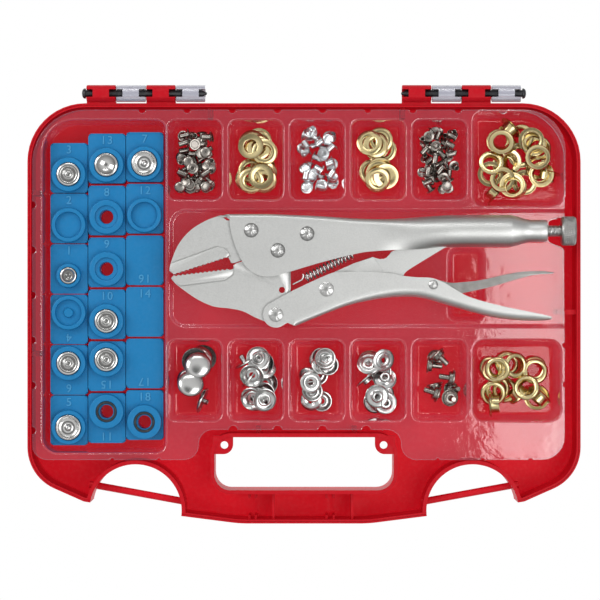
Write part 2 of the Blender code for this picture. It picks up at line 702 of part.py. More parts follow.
def build_rivet(name, centre, half_grip, steel, head=4.5, head_height=1.7, shaft=2.5):
    profile = rivet_profile(half_grip, shaft, head, head_height)
    rivet = turned("rivet", profile, (*centre, PLIERS_Z), sides=12)
    finished(rivet, name, steel)


def build_lever(steel):
    outline = arc(LEVER_PIVOT, 8.0, 125, 290, 8)
    lower = [(-10.2, -19.3), (-5.6, -21.0), (7.9, -15.3), (24.8, -8.9), (39.6, -5.4),
             (54.4, -3.3), (66.3, -3.0), (75.2, -4.2), (87.0, -7.8), (103.3, -12.5),
             (115.9, -15.6), (128.6, -17.2), (141.2, -17.9), (150.7, -17.2)]
    upper = [(153.0, -16.3), (150.0, -14.4), (134.9, -11.2), (122.3, -8.7), (109.6, -5.5),
             (100.1, -2.4), (90.6, 3.3), (85.2, 6.4), (78.1, 8.6), (69.3, 8.9), (61.6, 9.7),
             (53.8, 11.5), (39.6, 12.1), (21.7, 12.1), (17.1, 11.8), (7.9, 7.6), (-8.2, 0.2)]
    lever = flat_piece("lever_blank", outline + lower + upper, LEVER_OUTSIDE, bevel=0.8)

    web = 1.8
    inside = [(x - 0.4, y + web) for x, y in lower[3:-1]]
    slot = [(-40.0, 40.0), (-40.0, -40.0), (-4.0, -40.0), (-4.0, -18.0), (7.4, -13.3)]
    slot += inside + [(146.5, -14.6), (150.0, -10.0), (150.0, 40.0)]
    cut(lever, flat_piece("lever_slot", slot, LEVER_INSIDE))
    for centre, radius in ((LEVER_PIVOT, 2.8), (LINK_PIVOT, 2.8), (RELEASE_PIVOT, 2.1)):
        cut(lever, through_hole(centre, radius))
    piece = finished(lever, "lever_handle", steel)
    give_pivot(piece, (*LEVER_PIVOT, PLIERS_Z))


def build_link(steel):
    """Toggle link from the lever to the tip that bears on the adjusting screw."""
    outline = arc(LINK_PIVOT, 6.6, 115, 290, 6)
    outline += [(61.6, 9.9), (87.0, 26.4)]
    outline += arc(LINK_TIP, 4.4, -70, 110, 6)
    outline += [(70.0, 30.5), (53.3, 24.4), (51.5, 22.0), (47.7, 20.3), (42.0, 21.5),
                (30.7, 17.6), (19.4, 12.6)]
    link = flat_piece("link_blank", outline, LINK_THICKNESS)
    cut(link, through_hole(LINK_PIVOT, 2.8))
    piece = finished(link, "toggle_link", steel)
    give_pivot(piece, (*LINK_PIVOT, PLIERS_Z))


def build_release_lever(steel):
    outline = arc(RELEASE_PIVOT, 3.4, 130, 250, 4)
    outline += [(90.0, -2.0), (98.9, -0.5), (106.5, 1.1), (115.9, 3.3), (128.6, 7.1),
                (141.2, 10.3), (153.3, 11.2), (154.3, 12.2), (147.6, 12.8), (134.9, 12.5),
                (122.3, 10.3), (109.6, 7.4), (100.1, 6.2), (90.6, 5.6), (84.0, 7.0)]
    release = flat_piece("release_blank", outline, RELEASE_THICKNESS)
    cut(release, through_hole(RELEASE_PIVOT, 2.1))
    piece = finished(release, "release_lever", steel)
    give_pivot(piece, (*RELEASE_PIVOT, PLIERS_Z))


def build_screw(steel):
    """Adjusting screw, with its knob, along the tube's axis."""
    tip, knob_start, knob_end = 104.2, 158.7, 167.5
    knob = 9.0
    profile = [(0.0, knob_end), (knob - 1.6, knob_end), (knob, knob_end - 1.6),
               (knob, knob_start + 0.8), (knob - 0.8, knob_start), (SCREW_RADIUS, knob_start),
               (SCREW_RADIUS, tip + 1.5), (SCREW_RADIUS - 1.2, tip), (0.0, tip)]
    screw = turned("screw", profile, (0, SCREW_Y, PLIERS_Z), (1, 0, 0), 20)
    piece = finished(screw, "adjusting_screw", steel)
    give_pivot(piece, (150.0, SCREW_Y, PLIERS_Z))


def build_spring(steel):
    """Outer shape of the tension spring, with its straight wire up to the moving jaw's edge."""
    jaw_hole, anchor = Vector((*SPRING_HOLE, PLIERS_Z)), Vector((*SPRING_ANCHOR, PLIERS_Z))
    coil = rod("coil", jaw_hole.lerp(anchor, 0.30), jaw_hole.lerp(anchor, 0.96), 2.7, 12)
    joined(coil, rod("wire", jaw_hole.lerp(anchor, 0.14), jaw_hole.lerp(anchor, 0.34), 0.6, 8))
    finished(coil, "tension_spring", steel)


def build_pliers(steel, bright):
    build_fixed_jaw(steel)
    build_moving_jaw(steel)
    build_fixed_handle(steel)
    build_rivet("jaw_rivet_front", FRONT_RIVET, CHANNEL_OUTSIDE / 2, bright)
    build_rivet("jaw_rivet_rear", REAR_RIVET, CHANNEL_OUTSIDE / 2, bright)
    build_rivet("jaw_pivot_rivet", JAW_PIVOT, CHANNEL_OUTSIDE / 2, bright)
    build_lever(steel)
    build_rivet("lever_pivot_rivet", LEVER_PIVOT, LEVER_OUTSIDE / 2, bright, head_height=0.9)
    build_rivet("link_pin", LINK_PIVOT, LEVER_OUTSIDE / 2, bright, head_height=0.9)
    build_rivet("release_pin", RELEASE_PIVOT, LEVER_OUTSIDE / 2, bright, 2.7, 0.5, 1.8)
    build_link(steel)
    build_release_lever(steel)
    build_screw(bright)
    build_spring(bright)


def main():
    start_scene()
    red = material("red_plastic", (0.60, 0.006, 0.013), 0.35)
    clear = material("clear_sheet", (0.80, 0.80, 0.82), 0.12, alpha=0.35)
    black = material("black_plastic", (0.02, 0.022, 0.026), 0.45)
    blue = material("blue_plastic", (0.012, 0.22, 0.50), 0.38)
    steel = material("satin_nickel", (0.56, 0.57, 0.55), 0.34, 1.0)
    bright = material("bright_nickel", (0.62, 0.62, 0.60), 0.22, 1.0)
    brass = material("brass_plate", (0.78, 0.56, 0.22), 0.25, 1.0)

    build_case(red)
    build_hinges(clear, black)
    build_tray(clear)
    for number, (_, _, _, carries) in DIES.items():
        build_die(number, blue)
        if carries in INSERT_RADIUS:
            build_insert(number, bright)
    for well, corners in wells().items():
        build_heap(well, corners, {"nickel": bright, "brass": brass})
    build_pliers(steel, bright)


main()
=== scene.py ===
import math
import random
import bmesh
import bpy
from mathutils import Matrix, Vector
from mathutils.geometry import tessellate_polygon


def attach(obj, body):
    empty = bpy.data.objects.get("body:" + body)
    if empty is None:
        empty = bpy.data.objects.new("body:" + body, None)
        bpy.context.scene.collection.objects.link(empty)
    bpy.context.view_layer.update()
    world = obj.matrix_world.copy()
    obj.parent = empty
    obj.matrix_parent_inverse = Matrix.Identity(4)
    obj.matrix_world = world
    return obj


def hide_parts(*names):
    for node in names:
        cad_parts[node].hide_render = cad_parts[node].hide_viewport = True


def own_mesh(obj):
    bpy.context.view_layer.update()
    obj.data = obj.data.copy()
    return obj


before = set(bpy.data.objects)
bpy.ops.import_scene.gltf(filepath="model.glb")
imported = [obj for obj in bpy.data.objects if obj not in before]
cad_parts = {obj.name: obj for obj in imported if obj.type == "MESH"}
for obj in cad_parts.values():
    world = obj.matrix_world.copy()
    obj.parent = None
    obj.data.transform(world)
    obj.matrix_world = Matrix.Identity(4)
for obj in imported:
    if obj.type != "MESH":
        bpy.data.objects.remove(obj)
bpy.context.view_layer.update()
print("stage: frame loaded")

# lengths are in millimetres until a piece is placed
mm = 0.001
scene = bpy.context.scene

# outlines

# points of an anticlockwise outline of (x, y, radius) corners, drawn in by inset
def rounded(corners, inset=0.0, segments=8):
    count = len(corners)
    edges = []
    for i in range(count):
        start = Vector(corners[i][:2])
        run = (Vector(corners[(i + 1) % count][:2]) - start).normalized()
        edges.append((start + inset * Vector((-run.y, run.x)), run))
    points = []
    for i in range(count):
        (baseIn, runIn), (baseOut, runOut) = edges[i - 1], edges[i]
        turn = runIn.cross(runOut)
        if abs(turn) < 1e-6:
            points.append(baseOut.copy())
            continue
        vertex = baseIn + (baseOut - baseIn).cross(runOut) / turn * runIn
        angle = math.atan2(turn, runIn.dot(runOut))
        side = math.copysign(1.0, angle)
        radius = max(corners[i][2] - inset * side, 0.0)
        if corners[i][2] == 0:
            points.append(vertex.copy())
            continue
        radius = max(radius, 0.05)
        first = vertex - radius * abs(math.tan(angle / 2)) * runIn
        centre = first + side * radius * Vector((-runIn.y, runIn.x))
        for k in range(segments + 1):
            points.append(centre + Matrix.Rotation(angle * k / segments, 2) @ (first - centre))
    return [(p.x, p.y) for p in points]


def rectangle(xLow, xHigh, yLow, yHigh, radius=0.0):
    return [(xLow, yLow, radius), (xHigh, yLow, radius), (xHigh, yHigh, radius), (xLow, yHigh, radius)]


def arc(centre, radius, start, end, segments):
    steps = [math.radians(start + (end - start) * k / segments) for k in range(segments + 1)]
    return [(centre[0] + radius * math.cos(a), centre[1] + radius * math.sin(a)) for a in steps]


def mirrored(points):
    return [(-p[0], *p[1:]) for p in reversed(points)]


# smooth open curve through the points
def curved(points, steps=6):
    ends = [points[0], *points, points[-1]]
    made = []
    for a, b, c, d in zip(ends, ends[1:], ends[2:], ends[3:]):
        for k in range(steps):
            t = k / steps
            made.append(tuple(0.5 * (2 * q + (r - p) * t + (2 * p - 5 * q + 4 * r - s) * t * t
                                     + (3 * q - p - 3 * r + s) * t ** 3)
                              for p, q, r, s in zip(a, b, c, d)))
    return made + [tuple(points[-1])]


# y of a left-to-right line at x
def heightAt(line, x):
    for (x0, y0), (x1, y1) in zip(line, line[1:]):
        if x <= x1:
            return y0 + (y1 - y0) * min(max((x - x0) / max(x1 - x0, 1e-6), 0.0), 1.0)
    return line[-1][1]


def smoothStep(low, high, value):
    t = min(max((value - low) / (high - low), 0.0), 1.0)
    return t * t * (3 - 2 * t)


# solids

def outward(bm):
    bm.normal_update()
    bmesh.ops.recalc_face_normals(bm, faces=bm.faces)
    if bm.calc_volume(signed=True) < 0:
        bmesh.ops.reverse_faces(bm, faces=bm.faces)
    return bm


def loft(rings, closed=True, caps=True):
    bm = bmesh.new()
    rows = [[bm.verts.new(p) for p in ring] for ring in rings]
    count = len(rows[0])
    for a, b in zip(rows, rows[1:]):
        for i in range(count if closed else count - 1):
            j = (i + 1) % count
            bm.faces.new((a[i], a[j], b[j], b[i]))
    if caps:
        bm.faces.new(list(reversed(rows[0])))
        bm.faces.new(rows[-1])
    return bm


# flat outline raised from zLow to zHigh with rounded rims
def slab(points, zLow, zHigh, bevel=0.0, segments=2, bevelLow=True):
    bm = loft([[(x, y, z) for x, y in points] for z in (zLow, zHigh)])
    if bevel:
        rims = [e for e in bm.edges if abs(e.verts[0].co.z - e.verts[1].co.z) < 1e-4
                and (bevelLow or e.verts[0].co.z > (zLow + zHigh) / 2)]
        bmesh.ops.bevel(bm, geom=rims, offset=bevel, segments=segments, profile=0.5,
                        affect="EDGES", clamp_overlap=True)
    return outward(bm)


# (radius, height) points turned about an axis through place
def turned(profile, place=(0, 0, 0), axis=(0, 0, 1), sides=48):
    rings = [[(r * math.cos(k * math.tau / sides), r * math.sin(k * math.tau / sides), h)
              for k in range(sides)] for r, h in profile]
    bm = loft(rings, caps=False)
    bmesh.ops.remove_doubles(bm, verts=bm.verts, dist=1e-4)
    turn = Vector(axis).to_track_quat("Z", "Y").to_matrix().to_4x4()
    bm.transform(Matrix.Translation(place) @ turn)
    return outward(bm)


def rod(start, end, radius, sides=32):
    start, end = Vector(start), Vector(end)
    half = (end - start).length / 2
    return turned([(0, -half), (radius, -half), (radius, half), (0, half)],
                  (start + end) / 2, end - start, sides)


def block(low, high):
    return outward(loft([[(low[0], low[1], z), (high[0], low[1], z), (high[0], high[1], z),
                          (low[0], high[1], z)] for z in (low[2], high[2])]))


# round wire along a path
def tube(points, radius, sides=12):
    path = [Vector(p) for p in points]
    rings, side = [], None
    for i, p in enumerate(path):
        run = (path[min(i + 1, len(path) - 1)] - path[max(i - 1, 0)]).normalized()
        side = side or run.orthogonal()
        side = (side - side.dot(run) * run).normalized()
        up = run.cross(side)
        rings.append([p + radius * (math.cos(a) * side + math.sin(a) * up)
                      for a in (k * math.tau / sides for k in range(sides))])
    return outward(loft(rings))


def evaluated(source):
    bpy.context.view_layer.update()
    return bpy.data.meshes.new_from_object(source.evaluated_get(bpy.context.evaluated_depsgraph_get()))


def shapeFrom(mesh):
    made = bmesh.new()
    made.from_mesh(mesh)
    bpy.data.meshes.remove(mesh)
    return made


def shapeObject(bm):
    mesh = bpy.data.meshes.new("shape")
    bm.to_mesh(mesh)
    bm.free()
    made = bpy.data.objects.new("shape", mesh)
    scene.collection.objects.link(made)
    return made


# the shape after one modifier
def modified(bm, kind, **settings):
    source = shapeObject(bm)
    step = source.modifiers.new("step", kind)
    for key, value in settings.items():
        setattr(step, key, value)
    mesh = evaluated(source)
    bpy.data.objects.remove(source)
    return shapeFrom(mesh)


def solid(bm, thickness):
    return modified(bm, "SOLIDIFY", thickness=thickness, offset=-1.0, use_even_offset=True)


def softened(bm, width, segments=2, angle=38):
    bmesh.ops.dissolve_limit(bm, angle_limit=math.radians(0.4), verts=bm.verts, edges=bm.edges)
    return modified(bm, "BEVEL", width=width, segments=segments, limit_method="ANGLE",
                    angle_limit=math.radians(angle), use_clamp_overlap=True,
                    miter_outer="MITER_ARC")


def carved(base, *tools, operation="DIFFERENCE"):
    for tool in tools:
        other = shapeObject(tool)
        base = modified(base, "BOOLEAN", operation=operation, solver="MANIFOLD", object=other)
        bpy.data.objects.remove(other)
    return base


def joined(base, *tools):
    return carved(base, *tools, operation="UNION")


# several shapes as one mesh, without merging them
def together(*parts):
    whole = bmesh.new()
    for part in parts:
        mesh = bpy.data.meshes.new("part")
        part.to_mesh(mesh)
        part.free()
        whole.from_mesh(mesh)
        bpy.data.meshes.remove(mesh)
    return whole


# materials

def socketed(name, kind, inputs, outputs):
    tree = bpy.data.node_groups.new(name, kind)
    for label, socketType, value in inputs:
        made = tree.interface.new_socket(label, in_out="INPUT", socket_type=socketType)
        if value is not None:
            made.default_value = value
    for label, socketType in outputs:
        tree.interface.new_socket(label, in_out="OUTPUT", socket_type=socketType)
    return tree, tree.nodes.new("NodeGroupInput"), tree.nodes.new("NodeGroupOutput")


# a node with its inputs linked or set by name or number
def node(tree, kind, links=(), **settings):
    made = tree.nodes.new(kind)
    for key, value in settings.items():
        setattr(made, key, value)
    for key, value in dict(links).items():
        if isinstance(value, bpy.types.NodeSocket):
            tree.links.new(value, made.inputs[key])
        else:
            made.inputs[key].default_value = value
    return made


def mapped(tree, value, span, onto=(0.0, 1.0)):
    return node(tree, "ShaderNodeMapRange", {"Value": value, "From Min": span[0], "From Max": span[1],
                                             "To Min": onto[0], "To Max": onto[1]}).outputs[0]


def maths(tree, operation, first, second=0.0, clamp=False):
    return node(tree, "ShaderNodeMath", {0: first, 1: second}, operation=operation, use_clamp=clamp).outputs[0]


def blended(tree, share, first, second):
    return node(tree, "ShaderNodeMix", {0: share, 6: first, 7: second}, data_type="RGBA").outputs[2]


def patches(tree, place, scale, detail, roughness=0.5):
    return node(tree, "ShaderNodeTexNoise", {"Vector": place, "Scale": scale, "Detail": detail,
                                             "Roughness": roughness}).outputs["Fac"]


def zOf(tree, vector):
    return node(tree, "ShaderNodeSeparateXYZ", {0: vector}).outputs["Z"]


# fine unevenness: a value for colour and roughness, and a bumped normal
def grainGroup():
    tree, entry, leave = socketed("surfaceGrain", "ShaderNodeTree", [
        ("Scale", "NodeSocketFloat", 900.0), ("Bump", "NodeSocketFloat", 0.2),
        ("Depth", "NodeSocketFloat", 0.0001)],
        [("Value", "NodeSocketFloat"), ("Normal", "NodeSocketVector")])
    place = node(tree, "ShaderNodeTexCoord").outputs["Object"]
    fine = patches(tree, place, entry.outputs["Scale"], 4.0, 0.6)
    bump = node(tree, "ShaderNodeBump", {"Strength": entry.outputs["Bump"],
                                         "Distance": entry.outputs["Depth"], "Height": fine})
    tree.links.new(fine, leave.inputs["Value"])
    tree.links.new(bump.outputs["Normal"], leave.inputs["Normal"])
    return tree


# edges rubbed bright
def wearGroup():
    tree, entry, leave = socketed("edgeWear", "ShaderNodeTree", [
        ("Colour", "NodeSocketColor", (0.5, 0.5, 0.5, 1)), ("Worn", "NodeSocketColor", (0.8, 0.8, 0.8, 1)),
        ("Amount", "NodeSocketFloat", 0.5), ("Start", "NodeSocketFloat", 0.52)],
        [("Colour", "NodeSocketColor")])
    place = node(tree, "ShaderNodeTexCoord").outputs["Object"]
    pointed = node(tree, "ShaderNodeNewGeometry").outputs["Pointiness"]
    edge = mapped(tree, pointed, (entry.outputs["Start"], 0.60))
    broken = maths(tree, "MULTIPLY", edge, patches(tree, place, 160.0, 3.0))
    mask = maths(tree, "MULTIPLY", broken, entry.outputs["Amount"], clamp=True)
    tree.links.new(blended(tree, mask, entry.outputs["Colour"], entry.outputs["Worn"]), leave.inputs["Colour"])
    return tree


# faint dust lying on surfaces that face up
def dustGroup():
    tree, entry, leave = socketed("restingDust", "ShaderNodeTree", [
        ("Colour", "NodeSocketColor", (0.5, 0.5, 0.5, 1)), ("Dust", "NodeSocketColor", (0.6, 0.58, 0.55, 1)),
        ("Amount", "NodeSocketFloat", 0.05)],
        [("Colour", "NodeSocketColor")])
    place = node(tree, "ShaderNodeTexCoord").outputs["Object"]
    upward = zOf(tree, node(tree, "ShaderNodeNewGeometry").outputs["Normal"])
    sparse = mapped(tree, patches(tree, place, 420.0, 5.0), (0.45, 0.75))
    lying = maths(tree, "MULTIPLY", upward, sparse, clamp=True)
    mask = maths(tree, "MULTIPLY", lying, entry.outputs["Amount"])
    tree.links.new(blended(tree, mask, entry.outputs["Colour"], entry.outputs["Dust"]), leave.inputs["Colour"])
    return tree


groups = {"grain": grainGroup(), "wear": wearGroup(), "dust": dustGroup()}


def grouped(tree, name, links):
    return node(tree, "ShaderNodeGroup", links, node_tree=groups[name])


# heights over the case's underside, in metres, between which an effect comes in
paintedGlowHeights = (0.027, 0.004)  # painted light: the red plastic glows low down, under the tray
topSheenHeights = (0.020, 0.027)  # painted reflection: the clear sheet made hazier near its top
wellShadeHeights = (0.010, 0.026)  # painted shade: the sheet's reflections dimmed down in the wells


# raised is (height of the lettering's face, a paler colour painted on that face as a highlight), alpha is how milky
# a clear plastic is
def finish(name, colour, roughness, metallic=0.0, vary=0.12, grain=900.0, bump=0.15, depth=0.00008, worn=None,
           wear=0.0, dust=0.03, specular=0.5, blotch=0.0, raised=None, paintedLowGlow=0.0, alpha=None, rimHaze=0.0,
           topSheenWellShade=0.0):
    made = bpy.data.materials.new(name)
    made.use_nodes = True
    made.diffuse_color = (*colour, 1.0)
    tree = made.node_tree
    shader = tree.nodes["Principled BSDF"]
    shader.inputs["Metallic"].default_value = metallic
    shader.inputs["Specular IOR Level"].default_value = specular
    place = node(tree, "ShaderNodeTexCoord").outputs["Object"]
    fine = grouped(tree, "grain", {"Scale": grain, "Bump": bump, "Depth": depth})
    value, normal, middle = fine.outputs["Value"], fine.outputs["Normal"], (0.25, 0.75)
    shade = mapped(tree, value, middle, (1.0 - vary, 1.0 + vary * 0.6))
    if blotch:
        broad = mapped(tree, patches(tree, place, 28.0, 3.0), (0.3, 0.7), (1.0 - blotch, 1.0))
        shade = maths(tree, "MULTIPLY", shade, broad)
    ground = node(tree, "ShaderNodeVectorMath", {0: colour, "Scale": shade}, operation="SCALE").outputs[0]
    if raised or paintedLowGlow or topSheenWellShade:
        level = zOf(tree, place)
        upward = zOf(tree, node(tree, "ShaderNodeNewGeometry").outputs["Normal"])
    if raised:
        # only flat tops within a hair of that height get the paler colour, a painted highlight
        face, paintedPaler = raised
        away = maths(tree, "ABSOLUTE", maths(tree, "SUBTRACT", level, face))
        near = maths(tree, "LESS_THAN", away, 0.00022)
        mask = maths(tree, "MULTIPLY", near, maths(tree, "GREATER_THAN", upward, 0.85))
        ground = blended(tree, mask, ground, (*paintedPaler, 1.0))
    edges = grouped(tree, "wear", {"Colour": ground, "Worn": (*(worn or colour), 1.0), "Amount": wear})
    dusty = grouped(tree, "dust", {"Colour": edges.outputs["Colour"], "Amount": dust}).outputs["Colour"]
    tree.links.new(dusty, shader.inputs["Base Color"])
    tree.links.new(mapped(tree, value, middle, (roughness * 0.85, roughness * 1.15)), shader.inputs["Roughness"])
    tree.links.new(normal, shader.inputs["Normal"])
    # painted light: the plastic glows in its own colour, more strongly lower down and on faces turned up
    if paintedLowGlow:
        deep = mapped(tree, level, paintedGlowHeights, (0.0, paintedLowGlow))
        toward = mapped(tree, upward, (0.0, 1.0), (0.45, 1.0))
        tree.links.new(maths(tree, "MULTIPLY", deep, toward, clamp=True), shader.inputs["Emission Strength"])
        tree.links.new(dusty, shader.inputs["Emission Color"])
    if alpha is None:
        return made
    facing = node(tree, "ShaderNodeLayerWeight", {"Blend": 0.22}).outputs["Facing"]
    cover = mapped(tree, facing, (0.0, 0.9), (alpha, alpha + rimHaze))
    edge = node(tree, "ShaderNodeFresnel", {"IOR": 1.5, "Normal": normal}).outputs[0]
    mirror = maths(tree, "MULTIPLY", edge, 1.8, clamp=True)
    # painted reflection: more haze near the sheet's top; painted shade: less gloss lower down in the wells
    if topSheenWellShade:
        cover = maths(tree, "ADD", cover, mapped(tree, level, topSheenHeights, (0.0, topSheenWellShade)))
        mirror = maths(tree, "MULTIPLY", mirror, mapped(tree, level, wellShadeHeights, (0.45, 1.0)))
    tree.links.new(cover, shader.inputs["Alpha"])
    gloss = node(tree, "ShaderNodeBsdfGlossy", {"Color": (1, 1, 1, 1), "Roughness": roughness, "Normal": normal})
    over = node(tree, "ShaderNodeMixShader", {0: mirror, 1: shader.outputs[0], 2: gloss.outputs[0]})
    tree.links.new(over.outputs[0], tree.nodes["Material Output"].inputs["Surface"])
    made.surface_render_method = "BLENDED"
    return made


finishes = {}


# file a shape as a finished piece: scaled, shaded, painted, riding its body
def placed(name, bm, look, body="case", stands=(), angle=35):
    mesh = bpy.data.meshes.new(name)
    bm.to_mesh(mesh)
    bm.free()
    mesh.transform(Matrix.Scale(mm, 4))
    mesh.materials.clear()
    mesh.materials.append(finishes[look])
    mesh.shade_smooth()
    mesh.set_sharp_from_angle(angle=math.radians(angle))
    piece = bpy.data.objects.new(name, mesh)
    scene.collection.objects.link(piece)
    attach(piece, body)
    if stands:
        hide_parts(*stands)
    return piece


# repeated and wound shapes

# puts a copy of one shape at every point, turned by the point's own angles
def scatterTree():
    tree, entry, leave = socketed("looseFasteners", "GeometryNodeTree", [
        ("Geometry", "NodeSocketGeometry", None), ("Shape", "NodeSocketObject", None),
        ("Size", "NodeSocketFloat", 1.0), ("Finish", "NodeSocketMaterial", None)],
        [("Geometry", "NodeSocketGeometry")])
    shape = node(tree, "GeometryNodeObjectInfo", {"Object": entry.outputs["Shape"]})
    turn = node(tree, "GeometryNodeInputNamedAttribute", {"Name": "turn"}, data_type="FLOAT_VECTOR")
    rotation = node(tree, "FunctionNodeEulerToRotation", {0: turn.outputs[0]})
    copies = node(tree, "GeometryNodeInstanceOnPoints", {
        "Points": entry.outputs["Geometry"], "Instance": shape.outputs["Geometry"],
        "Rotation": rotation.outputs[0], "Scale": entry.outputs["Size"]})
    real = node(tree, "GeometryNodeRealizeInstances", {0: copies.outputs[0]})
    paint = node(tree, "GeometryNodeSetMaterial", {"Geometry": real.outputs[0], "Material": entry.outputs["Finish"]})
    tree.links.new(paint.outputs[0], leave.inputs[0])
    return tree


# a wire wound round the Z axis: spring coils and screw threads
def helixTree():
    tree, entry, leave = socketed("woundWire", "GeometryNodeTree", [
        ("Geometry", "NodeSocketGeometry", None), ("Radius", "NodeSocketFloat", 2.0),
        ("Wire", "NodeSocketFloat", 0.5), ("Turns", "NodeSocketFloat", 10.0), ("Length", "NodeSocketFloat", 20.0),
        ("Steps", "NodeSocketInt", 24), ("Sides", "NodeSocketInt", 8), ("Finish", "NodeSocketMaterial", None)],
        [("Geometry", "NodeSocketGeometry")])
    spiral = node(tree, "GeometryNodeCurveSpiral", {
        "Resolution": entry.outputs["Steps"], "Rotations": entry.outputs["Turns"],
        "Start Radius": entry.outputs["Radius"], "End Radius": entry.outputs["Radius"],
        "Height": entry.outputs["Length"]})
    section = node(tree, "GeometryNodeCurvePrimitiveCircle", {
        "Resolution": entry.outputs["Sides"], "Radius": entry.outputs["Wire"]})
    wire = node(tree, "GeometryNodeCurveToMesh", {
        "Curve": spiral.outputs[0], "Profile Curve": section.outputs[0], "Fill Caps": True})
    real = node(tree, "GeometryNodeRealizeInstances", {0: wire.outputs[0]})
    paint = node(tree, "GeometryNodeSetMaterial", {"Geometry": real.outputs[0], "Material": entry.outputs["Finish"]})
    tree.links.new(paint.outputs[0], leave.inputs[0])
    return tree


trees = {"scatter": scatterTree(), "helix": helixTree()}


# the mesh that a tree makes from a host mesh; the host is dropped
def grown(treeName, host, **values):
    tree = trees[treeName]
    source = bpy.data.objects.new("host", host)
    scene.collection.objects.link(source)
    step = source.modifiers.new("grow", "NODES")
    step.node_group = tree
    for item in tree.interface.items_tree:
        if item.in_out == "INPUT" and item.name in values:
            step[item.identifier] = values[item.name]
    mesh = evaluated(source)
    bpy.data.objects.remove(source)
    return mesh


def helix(radius, wire, turns, length, steps=24, sides=8):
    return outward(shapeFrom(grown(
        "helix", bpy.data.meshes.new("empty"), Radius=float(radius), Wire=float(wire), Turns=float(turns),
        Length=float(length), Steps=steps, Sides=sides, Finish=finishes["steel"])))


print("stage: helpers and materials ready")


# carry case

caseLook = {
    "halfWidth": 171.5, "topY": 117.0, "height": 30.0, "wall": 2.4, "floor": 2.0,
    "outline": [(40.0, -143.6, 90.0), (79.0, -138.6, 5.0), (136.5, -130.0, 4.0)],  # x, y, radius
    "cornerRadii": (28.0, 36.0), "archCentre": (104.5, -135.5), "archRadius": 28.6,
    "gripHalfWidth": 55.6, "gripY": (-123.0, -90.1), "gripRadius": 10.0,
    "rimLine": (1.0, 1.45), "rimLineDepth": 0.5,
    "lug": (11.6, 10.5), "lugZ": (26.6, 29.7), "lugHole": (5.4, 5.6), "lugHoleRadius": 2.4,
    "latchBar": ((134.0, -120.2), (73.6, -131.2)), "latchBarZ": 16.0, "latchBarRadius": 2.2,
    "longRibs": (-19.0, 30.0), "shortRibs": (-34.0, -30.0, 14.0, 18.5), "ribHalf": 0.7, "ribTop": 24.0,
    # posts under the tray's edge: (x, x, y, y, top)
    "posts": [(-170.5, -164.2, y, y + 3, 28.4) for y in (60, -40)]
             + [(157.5, 170.5, y, y + 3, 25.6) for y in (36, -14)]
             + [(x, x + 3, 108.2, 116, 24.0) for x in (-60, 60)]
             + [(x, x + 3, -89.1, -84.0, 24.0) for x in (-30, 30)],
    "softEdge": 0.35, "colour": (0.545, 0.0045, 0.0135), "roughness": 0.40,
}
hingeLook = {
    "x": (-97.7, 97.7), "y": 123.0, "z": 30.0, "radius": 5.25, "length": 18.1, "pitch": 18.5,
    "bore": 2.5, "slot": 4.0, "ease": 0.5, "pinRadius": 2.2, "pinHead": 3.2,
    "pinColour": (0.012, 0.013, 0.017), "leafColour": (0.60, 0.60, 0.70),
}
# the red plastic gets a painted glow low down, where the tray shades it
finishes["red"] = finish("redPlastic", caseLook["colour"], caseLook["roughness"], vary=0.05, grain=700, bump=0.25,
                         depth=0.00012, dust=0.015, specular=0.12, blotch=0.05, paintedLowGlow=0.44)
finishes["pin"] = finish("blackPlastic", hingeLook["pinColour"], 0.34, vary=0.1, bump=0.2, dust=0.05)
finishes["knuckle"] = finish("clearPlastic", hingeLook["leafColour"], 0.14, vary=0.02, grain=80, bump=0.05,
                             alpha=0.62, rimHaze=0.25)


def caseOutline():
    x, (lowRadius, highRadius) = caseLook["halfWidth"], caseLook["cornerRadii"]
    half = caseLook["outline"] + [(x, -114.5, lowRadius), (x, caseLook["topY"], highRadius)]
    return half + mirrored(half)


def archRods(radius):
    x, y = caseLook["archCentre"]
    return [rod((side * x, y, -5), (side * x, y, 40), radius, 72) for side in (-1, 1)]


def knuckle(xLow, xHigh):
    radius, y, z, ease = hingeLook["radius"], hingeLook["y"], hingeLook["z"], hingeLook["ease"]
    half = (xHigh - xLow) / 2
    return turned([(0, -half), (radius - ease, -half), (radius - 0.15, -half + 0.15), (radius, -half + ease),
                   (radius, half - ease), (radius - 0.15, half - 0.15), (radius - ease, half), (0, half)],
                  ((xLow + xHigh) / 2, y, z), (1, 0, 0), 40)


def knuckleCutters(xLow, xHigh):
    y, z, bore, slot = hingeLook["y"], hingeLook["z"], hingeLook["bore"], hingeLook["slot"]
    made = [rod((xLow - 1, y, z), (xHigh + 1, y, z), bore, 32)]
    for low, high in ((xLow - 1, xLow + slot), (xHigh - slot, xHigh + 1)):
        made.append(block((low, y - bore + 0.1, z + 0.2), (high, y + bore - 0.1, z + 7)))
    return made


